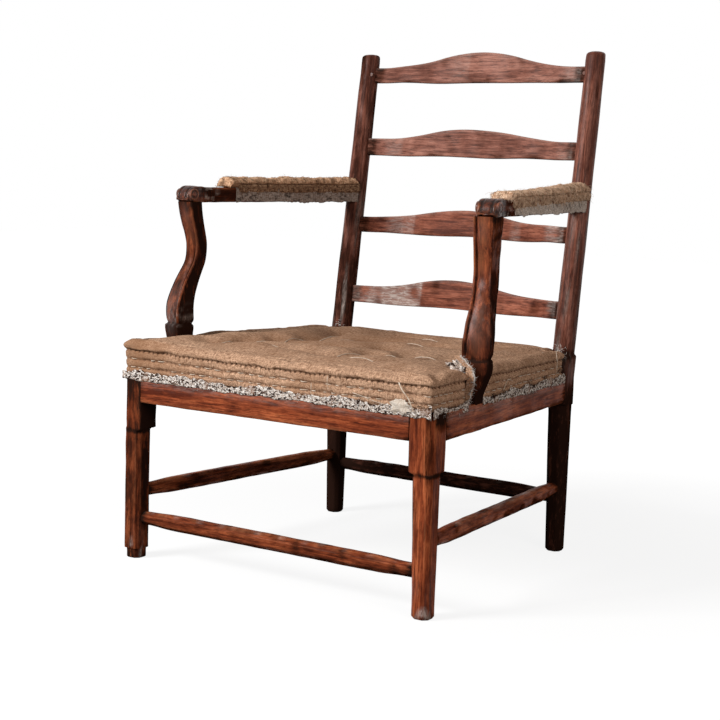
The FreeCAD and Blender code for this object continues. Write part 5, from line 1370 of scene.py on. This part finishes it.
def arm_pad(side, sign):
    """A frayed hessian pad on an arm: crown and lower roll from the section, lumpy along its length,
    its thickness growing toward the post, where it laps the shaft."""
    start, across, along = arm_frame(sign)
    reach = np.linspace(*PAD_REACH[sign], 190)
    half = pad_section(1.0 if sign < 0 else 0.75)
    outline = np.concatenate([half[::-1] * [-1, 1], half[1:], [[0.004, 0.0002], [-0.004, 0.0002]]])
    shape = (len(reach), len(outline))
    ends = np.minimum(reach - reach[0], reach[-1] - reach)
    full = np.sqrt(np.clip(ends / (7 * MM), 0.02, 1))
    narrow = np.interp(reach, [0, ARM_LENGTH], [1.03, 0.95])
    growth = [0.72, 0.85, 1.2, 1.5] if sign > 0 else [1.05, 1.07, 1.1, 1.12]
    swell = np.interp(reach, [0, 0.22, 0.34, ARM_LENGTH], growth)
    hang = np.interp(reach, [0, 0.2, ARM_LENGTH], [3.0, 2.2, 1.0] if sign > 0 else [1.5, 1.7, 1.7])
    spot = np.stack([np.broadcast_to(reach[:, None], shape), np.broadcast_to(outline[None, :, 0], shape),
                     np.broadcast_to(outline[None, :, 1], shape)], axis=-1)
    lump = 1.2 * MM * ripple(spot, 0.05, 190 + sign) + 0.6 * MM * ripple(spot, 0.016, 192 + sign)
    lump = lump + 0.7 * MM * ripple(spot, 0.006, 193 + sign)
    x = outline[None, :, 0] * narrow[:, None] * (0.86 + 0.14 * full[:, None])
    tall = np.where(outline[None, :, 1] > 0, (full * swell)[:, None], (hang * (0.75 + 0.25 * full))[:, None])
    z = outline[None, :, 1] * tall
    size = np.sqrt(x ** 2 + z ** 2) + 1e-6
    free = (np.abs(outline[:, 0]) > 0.006) | (outline[:, 1] > 0.003)
    x = x + lump * x / size * free
    z = z + lump * np.abs(z) / size * free * (outline[None, :, 1] > 0)
    lip = ease(reach[0] + 0.05 - reach, 0, 0.05)[:, None] * (outline[None, :, 1] < 0.0085)
    base = start + reach[:, None] * along + ARM_TOP * Z
    rings = base[:, None] + x[..., None] * across + z[..., None] * Z
    rings = rings + (lip * (22 if sign < 0 else 6) * MM)[..., None] * along
    # Painted shade: the lower roll and the pinched groove between crown and roll are darkened, half as much
    # on the right pad; blotches add real stains.
    groove = bell(outline[:, 1], 0.0066, 0.0022) * (np.abs(outline[:, 0]) > 0.015)
    dark = np.maximum(0.86 * ease(0.0066 - outline[:, 1], 0, 0.004), 0.95 * groove)
    soot_and_shade = np.broadcast_to(dark[None], shape) * (1.0 if sign < 0 else 0.5)
    soot_and_shade = soot_and_shade + 0.6 * ease(ripple(rings, 0.022, 194 + sign), 0.4, 1.3)
    soot_and_shade = soot_and_shade + 0.75 * ease(ripple(rings, 0.008, 196), 0.5, 1.2)
    name = f"arm_pad_{side}"
    # The right pad takes the brighter copy: painted light.
    cloth = ARM_HESSIAN if sign < 0 else LIT_PAD_HESSIAN
    piece = cloth_piece(f"{name}_cloth", rings, flat_grid(walked_along(outline), reach),
                        np.cross(across, Z) @ along < 0, cloth, "hessian", (name,),
                        np.append(np.clip(soot_and_shade, 0, 1).ravel(), [0.3, 0.3]), ((0, 0), (0, 1)))
    return rings, outline


def canvas(side, sign):
    """Grey canvas left between arm and pad: a thin cloth hanging down both sides of the arm, torn below."""
    start, across, along = arm_frame(sign)
    reach = np.linspace(PAD_REACH[sign][0] + 16 * MM, PAD_REACH[sign][1] - 3 * MM, 150)
    girth = np.concatenate([np.linspace(-46, -19, 12), np.linspace(-17, 17, 9), np.linspace(19, 46, 12)]) * MM
    half = np.interp(reach, [0, ARM_LENGTH], [18.5, 16.0])[:, None] * MM
    spot = np.stack([reach, 0 * reach], axis=-1)
    torn = 1.1 * MM * (ripple(spot, 0.06, 200 + sign) + 0.4 * ripple(spot, 0.014, 201 + sign) - 1)[:, None]
    away = np.clip(np.abs(girth)[None], 0, half)
    drop = np.maximum(np.abs(girth)[None] - half, 0) * (1 + torn / (20 * MM))
    places = flat_grid(girth, reach)
    flutter = 0.5 * MM * (1 + ripple(places[..., ::-1], 0.03, 202))
    thick = 0.6 * MM
    layers = []
    for lift in (0.5 * MM + thick, 0.5 * MM):
        x = np.sign(girth)[None] * (away + np.where(drop > 0, lift + flutter * (drop > 2 * MM), 0))
        z = ARM_TOP + np.where(drop > 0, -drop, lift)
        base = start + reach[:, None] * along
        layers.append(base[:, None] + x[..., None] * across + z[..., None] * Z)
    rings = folded(*layers)
    points, _ = closed_skin(rings)
    soot_and_shade = 0.75 * ease(ripple(points, 0.02, 203 + sign) + ripple(points, 0.006, 206), 0.2, 2.0)
    soot_and_shade = soot_and_shade + (0.3 if sign < 0 else 0.0)
    name = f"arm_canvas_{side}"
    # The right canvas takes the brighter copy: painted light.
    cloth = GREY_CANVAS if sign < 0 else LIT_CANVAS
    piece = cloth_piece(f"{name}_cloth", rings, folded(places, places), np.cross(across, Z) @ along > 0,
                        cloth, "canvas", (name,), soot_and_shade, ((0, 0), (0, 1)))


def arm_fray(side, sign, rings, outline):
    """Loose jute fibres on a pad: a fringe over the canvas, a nap on its layers, wisps at its front end."""
    dice = np.random.default_rng(210 + sign)
    _, across, along = arm_frame(sign)
    # The right pad's fibres take the brighter copy: painted light.
    fibre = JUTE_FIBRE if sign < 0 else LIT_JUTE
    fringe, wisp = (6 * MM, 6 * MM) if sign < 0 else (9 * MM, 10 * MM)
    count = 900
    low = outline[:, 1] < (0.012 if sign < 0 else 0.02)
    sides = np.flatnonzero((np.abs(outline[:, 0]) > 0.015) & low)
    pick = dice.integers(0, len(rings), count), dice.choice(sides, count)
    outward = across * np.sign(outline[pick[1], 0])[:, None]
    ways = outward * 0.35 - Z * dice.normal(0.9, 0.4, (count, 1)) + along * dice.normal(0, 0.45, (count, 1))
    curls(f"arm_fray_{side}", rings[pick], ways, fringe, 0.5, 0.34 * MM, fibre, "hessian", 212 + sign)
    count = 700
    crown = np.flatnonzero(outline[:, 1] > 0.010)
    pick = dice.integers(0, len(rings), count), dice.choice(crown, count)
    ways = Z * 0.3 + across * dice.normal(0, 0.8, (count, 1)) + along * dice.normal(0, 0.8, (count, 1))
    curls(f"arm_nap_{side}", rings[pick], ways, 3.6 * MM, 0.7, 0.3 * MM, fibre, "hessian", 216 + sign)
    count = 260
    end = dice.integers(0, rings.shape[1], count), dice.integers(0, 9, count)
    ways = -along * (1.0 if sign > 0 else 0.7) - 0.3 * Z + dice.normal(0, 0.5, (count, 3))
    curls(f"arm_wisps_{side}", rings[end[::-1]], ways, wisp, 0.7, 0.34 * MM, fibre, "hessian", 214 + sign)


for side, sign in SIDES:
    PAD_RINGS, PAD_LINE = arm_pad(side, sign)
    canvas(side, sign)
    arm_fray(side, sign, PAD_RINGS, PAD_LINE)


# Loose threads, torn scraps and hair


def bent(points, count=16):
    """A smooth path of count points through a few given ones."""
    points = np.asarray(points, float)
    at = np.arange(len(points), dtype=float)
    fine = np.linspace(0, at[-1], count)
    return np.stack([flow(fine, at, points[:, k]) for k in range(3)], axis=-1)


LOOSE_Y = FRONT - 3 * MM
THREADS = [[(0.097, LOOSE_Y, 0.374), (0.0985, LOOSE_Y - 0.002, 0.366), (0.097, LOOSE_Y, 0.355)],
           [(0.13, LOOSE_Y + 0.001, 0.389), (0.1325, LOOSE_Y - 0.003, 0.379), (0.133, LOOSE_Y, 0.366)],
           [(0.182, LOOSE_Y + 0.001, 0.366), (0.2, LOOSE_Y - 0.003, 0.364), (0.225, LOOSE_Y, 0.357),
            (0.251, LOOSE_Y, 0.353)],
           [(0.318, -0.08, 0.356), (0.314, -0.06, 0.371), (0.309, -0.03, 0.366)],
           [(0.298, 0.15, 0.404), (0.3, 0.152, 0.385), (0.298, 0.156, 0.362)]]
threads("loose_threads", [bent(t) for t in THREADS], 0.6 * MM, CREAM_TWINE, "hessian", 6)
FLAP_CORD = [(0.273, LOOSE_Y + 0.003, 0.392), (0.284, LOOSE_Y - 0.003, 0.381),
             (0.295, LOOSE_Y - 0.002, 0.369), (0.301, LOOSE_Y - 0.002, 0.358),
             (0.306, LOOSE_Y - 0.001, 0.347)]
threads("flap_cord", [bent(FLAP_CORD, 22)], 1.2 * MM, CREAM_TWINE, "hessian", 8)


def torn_scrap(name, middle, across, upward, out, wide, tall, seed, material):
    """A small torn rag: a ragged oval in rings about its middle, cupped and creased, with real thickness."""
    turn = np.linspace(0, 2 * np.pi, 40, endpoint=False)
    share = np.linspace(0.04, 1, 10)[:, None]
    around = np.stack([np.cos(turn), np.sin(turn)], axis=-1)
    rim = 1 + 0.2 * ripple(around, 0.9, seed) + 0.1 * ripple(around, 0.25, seed + 1)
    a = share * rim * np.cos(turn) * wide / 2
    b = share * rim * np.sin(turn) * tall / 2
    crease = 2.2 * MM * ripple(np.stack([a, b], axis=-1), 0.02, seed + 2) - 2.5 * MM * share ** 2
    face = middle + a[..., None] * across + b[..., None] * upward + crease[..., None] * out
    rings = np.concatenate([face, (face - 0.5 * MM * out)[::-1]])
    flat = np.stack([a, b], axis=-1)
    piece = cloth_piece(name, rings, np.concatenate([flat, flat[::-1]]), np.cross(across, upward) @ out > 0,
                        material, "tape")


torn_scrap("cream_flap", np.array([0.281, FRONT - 4.5 * MM, 0.3515]), X, Z, -Y, 0.042, 0.024, 231, CREAM_RAG)
torn_scrap("torn_rag_right", np.array([0.309, -0.2265, 0.4115]), unit(X + 0.3 * Y), unit(Z + 0.35 * Y),
           unit(-Y + 0.3 * Z), 0.034, 0.026, 235, TORN_TAPE)

TORN_Y = -0.2225
TORN_EDGE = bent([(0.314, TORN_Y, 0.4287), (0.3241, TORN_Y, 0.4211), (0.3353, TORN_Y, 0.4111),
                  (0.3426, TORN_Y, 0.3975), (0.3413, TORN_Y, 0.3821), (0.3361, TORN_Y, 0.3645),
                  (0.331, TORN_Y, 0.347)], 40)
LAP, _, LAP_LONG, LAP_AREA = strip("seat_lap_right", TORN_EDGE, X, -Y, -16 * MM, 0.0, 1.4 * MM,
                                   SEAT_HESSIAN, "hessian", (), 251, 1.2 * MM)
LAP_RIM = TORN_EDGE + 1.6 * MM * (ripple(TORN_EDGE, 0.009, 255)[:, None] * X - Y)
threads("lap_edge", [LAP_RIM[:15], LAP_RIM[17:27], LAP_RIM[29:]], 0.7 * MM, WHITE_FIBRE, "tape", 6)
LAP_DICE = np.random.default_rng(252)
LAP_ROOTS = LAP_RIM[LAP_DICE.integers(0, len(LAP_RIM), 240)]
LAP_WAYS = LAP_DICE.normal(0, 1, LAP_ROOTS.shape) + 0.4 * X - 0.3 * Y
curls("lap_fray", LAP_ROOTS, LAP_WAYS, 5 * MM, 0.9, 0.34 * MM, WHITE_FIBRE, "tape", 253)


def tuft_roots(dice, spots, flat=1.0):
    """Roots strewn about each spot, as many as its fourth value says."""
    return np.concatenate([np.array(spot[:3]) + dice.normal(0, 6 * MM, (spot[3], 3)) * [1, 1, flat]
                           for spot in spots])


def tufts():
    """Curled horsehair and white lint poking out at the seat's tears."""
    dice = np.random.default_rng(240)
    hair = ((0.317, -0.075, 0.354, 26), (0.306, 0.04, 0.355, 26), (0.290, 0.19, 0.363, 30),
            (0.0, 0.232, 0.395, 26), (0.045, 0.23, 0.395, 22), (0.322, -0.12, 0.353, 20),
            (0.298, 0.115, 0.357, 20), (-0.15, -0.352, 0.354, 14), (0.2, -0.351, 0.352, 24),
            (0.325, -0.351, 0.355, 26))
    roots = tuft_roots(dice, hair, 0.4)
    roots[:, 0] = np.minimum(roots[:, 0], side_x(roots[:, 1]) + 0.8 * MM)
    roots[:, 1] = np.maximum(roots[:, 1], FRONT - 1.5 * MM)
    ways = dice.normal(0, 1, roots.shape) * [1, 1, 0.4]
    curls("hair_tufts", roots, ways, 6 * MM, 1.0, 0.4 * MM, HORSE_HAIR, "stuffing", 241, 7)
    lint = ((-0.245, 0.205, 0.404, 34), (0.312, -0.222, 0.408, 60), (0.318, -0.225, 0.392, 40),
            (0.272, 0.212, 0.396, 30), (0.322, -0.214, 0.372, 30))
    roots = tuft_roots(dice, lint)
    ways = dice.normal(0, 1, roots.shape)
    curls("white_lint", roots, ways, 6 * MM, 1.0, 0.4 * MM, WHITE_FIBRE, "tape", 243, 7)


tufts()


# Hidden base


def web_strip(start, stop, over, crossings):
    """One webbing strip: a thin band that rises over and dips under the crossing strips in turn."""
    share = np.linspace(0, 1, 90)[:, None]
    path = np.array(start) * (1 - share) + np.array(stop) * share
    walked = share[:, 0] * np.linalg.norm(np.array(stop) - np.array(start))
    wave = np.zeros(len(walked))
    for k, place in enumerate(crossings):
        wave = wave + bell(walked, place, 0.03) * (1 if (k + over) % 2 else -1)
    path = path + (0.75 * MM * wave)[:, None] * Z
    along = unit(np.array(stop) - np.array(start))
    across = np.cross(along, Z)
    rings, _ = boxed_rings(path, across, Z, 25 * MM, 0.6 * MM, 0.5 * MM, box_ring(3, 6, 0))
    return rings, walked


def webbing(name, strips):
    """All strips of one direction in one piece, with their weave map."""
    flats = []
    for rings, walked in strips:
        flat = flat_grid(np.linspace(0, 0.1, rings.shape[1]), walked).reshape(-1, 2)
        flats.append(np.concatenate([flat, [[0, 0], [0, 0]]]))
    points, faces = joined([closed_skin(rings) for rings, _ in strips])
    marks = {"soot_and_shade": np.zeros(len(points))}
    piece = put_mesh(f"{name}_bands", points, faces, JUTE_WEB, "webbing", (name,), marks)
    add_weave(piece, np.concatenate(flats))


WEB_Z = (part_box("webbing_lengthwise")[0].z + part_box("webbing_crosswise")[1].z) / 2
WEB_X = np.linspace(-0.2, 0.2, 5)
WEB_Y = np.linspace(-0.255, 0.165, 5)
WEB_END, SIDE_WEB_END = 8 * MM, 12 * MM
webbing("webbing_lengthwise", [web_strip((x, FRONT + WEB_END, WEB_Z), (x, BACK - WEB_END, WEB_Z), k,
                                         WEB_Y - FRONT - WEB_END) for k, x in enumerate(WEB_X)])
webbing("webbing_crosswise", [web_strip((-side_x(y) + SIDE_WEB_END, y, WEB_Z),
                                        (side_x(y) - SIDE_WEB_END, y, WEB_Z), k + 1,
                                        WEB_X + side_x(y) - SIDE_WEB_END) for k, y in enumerate(WEB_Y)])


def base_cloth():
    """Hessian over the webbing: a flat cloth cut to the frame, with a faint ripple."""
    run = np.linspace(FRONT + WEB_END, BACK - WEB_END, 61)
    u, v = np.meshgrid(np.linspace(-1, 1, 61), run, indexing="ij")
    wide = np.where(v > BLOCK_FRONT - 4 * MM, 0.238, side_x(v) - 14 * MM)
    x = u * wide
    flat = np.stack([x, v], axis=-1)
    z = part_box("base_hessian")[0].z + 0.5 * MM + 0.15 * MM * ripple(flat, 0.06, 221)
    cloth = np.concatenate([flat, z[..., None]], axis=-1)
    piece = cloth_piece("base_cloth", folded(cloth + 0.3 * MM * Z, cloth - 0.3 * MM * Z), folded(flat, flat),
                        True, BASE_HESSIAN, "hessian", ("base_hessian",))


base_cloth()

FASTENERS = {"rail_pegs": PEG_WOOD, "slat_pegs": PEG_WOOD, "arm_nails": IRON, "support_nails": IRON}
for node, material in FASTENERS.items():
    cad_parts[node].data.materials.clear()
    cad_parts[node].data.materials.append(material)


# Studio


def shown_rays(board):
    """1 for rays that show the background: straight, in gloss or through glass."""
    rays = board.add("ShaderNodeLightPath").outputs
    first = board.maths("MAXIMUM", rays["Is Camera Ray"], rays["Is Glossy Ray"])
    return board.maths("MAXIMUM", first, rays["Is Transmission Ray"])


def studio_floor():
    """A pale floor that keeps the chair's soft shadow."""
    material, board, surface = new_material("studio_floor")
    tree = board.tree
    tree.nodes.remove(surface)
    matt = board.add("ShaderNodeBsdfDiffuse", {"Color": (0.16, 0.16, 0.16, 1)}).outputs[0]
    away = board.add("ShaderNodeVectorMath", {0: board.place()}, operation="LENGTH").outputs["Value"]
    power = board.span(away, 0.5, 1.7, 0.87, 1.0)
    glow = board.add("ShaderNodeEmission", {"Color": (1, 1, 1, 1), "Strength": power}).outputs[0]
    lit = board.add("ShaderNodeAddShader", {0: matt, 1: glow}).outputs[0]
    mixed = board.add("ShaderNodeMixShader", {0: shown_rays(board), 1: matt, 2: lit}).outputs[0]
    tree.links.new(mixed, tree.nodes["Material Output"].inputs["Surface"])
    mesh = bpy.data.meshes.new("studio_floor")
    mesh.from_pydata([(-9, -9, 0), (9, -9, 0), (9, 9, 0), (-9, 9, 0)], [], [(0, 1, 2, 3)])
    mesh.materials.append(material)
    floor = bpy.data.objects.new("studio_floor", mesh)
    bpy.context.scene.collection.objects.link(floor)


def studio_sky():
    """White behind the chair, and a weak even fill for everything else."""
    world = bpy.data.worlds.new("studio")
    bpy.context.scene.world = world
    world.use_nodes = True
    tree = world.node_tree
    board = Board(tree)
    fill = tree.nodes["Background"]
    fill.inputs["Color"].default_value = (1, 1, 1, 1)
    fill.inputs["Strength"].default_value = 0.115
    white = board.add("ShaderNodeBackground", {"Color": (1, 1, 1, 1), "Strength": 1.0}).outputs[0]
    mixed = board.add("ShaderNodeMixShader", {0: shown_rays(board), 1: fill.outputs[0], 2: white}).outputs[0]
    tree.links.new(mixed, tree.nodes["World Output"].inputs["Surface"])


def lamp(name, place, aim, size, power, tint):
    """A square soft lamp aimed at a point."""
    light = bpy.data.lights.new(name, "AREA")
    light.color = tint
    light.size = size
    light.energy = power
    held = bpy.data.objects.new(name, light)
    held.location = place
    held.rotation_euler = (Vector(aim) - Vector(place)).to_track_quat("-Z", "Y").to_euler()
    bpy.context.scene.collection.objects.link(held)


CAMERA_TURNS = (0.603, 0.126, 0.026)
CAMERA_PLACE = (1.7208, -2.5654, 0.7629)
CAMERA_LENS = 81.525


def studio_camera():
    """The photograph's viewpoint: at the chair's right front, a little above the seat."""
    yaw, pitch, roll = CAMERA_TURNS
    ahead = np.array([-np.sin(yaw) * np.cos(pitch), np.cos(yaw) * np.cos(pitch), -np.sin(pitch)])
    level = np.array([np.cos(yaw), np.sin(yaw), 0])
    upright = np.cross(level, ahead)
    right = np.cos(roll) * level + np.sin(roll) * upright
    up = np.cos(roll) * upright - np.sin(roll) * level
    lens = bpy.data.cameras.new("camera")
    lens.lens = CAMERA_LENS
    lens.sensor_width = 36
    camera = bpy.data.objects.new("camera", lens)
    place = np.eye(4)
    place[:3, :3] = np.stack([right, up, -ahead], axis=-1)
    place[:3, 3] = CAMERA_PLACE
    camera.matrix_world = Matrix(place.tolist())
    bpy.context.scene.collection.objects.link(camera)
    bpy.context.scene.camera = camera


studio_floor()
studio_sky()
lamp("key", (-1.7, -3.0, 2.3), (0, 0, 0.45), 1.3, 180, (1, 1, 1))
lamp("side", (3.2, -1.6, 1.6), (0.2, 0, 0.45), 1.6, 43, (1, 0.89, 0.81))
studio_camera()
bpy.context.scene.view_settings.view_transform = "Standard"
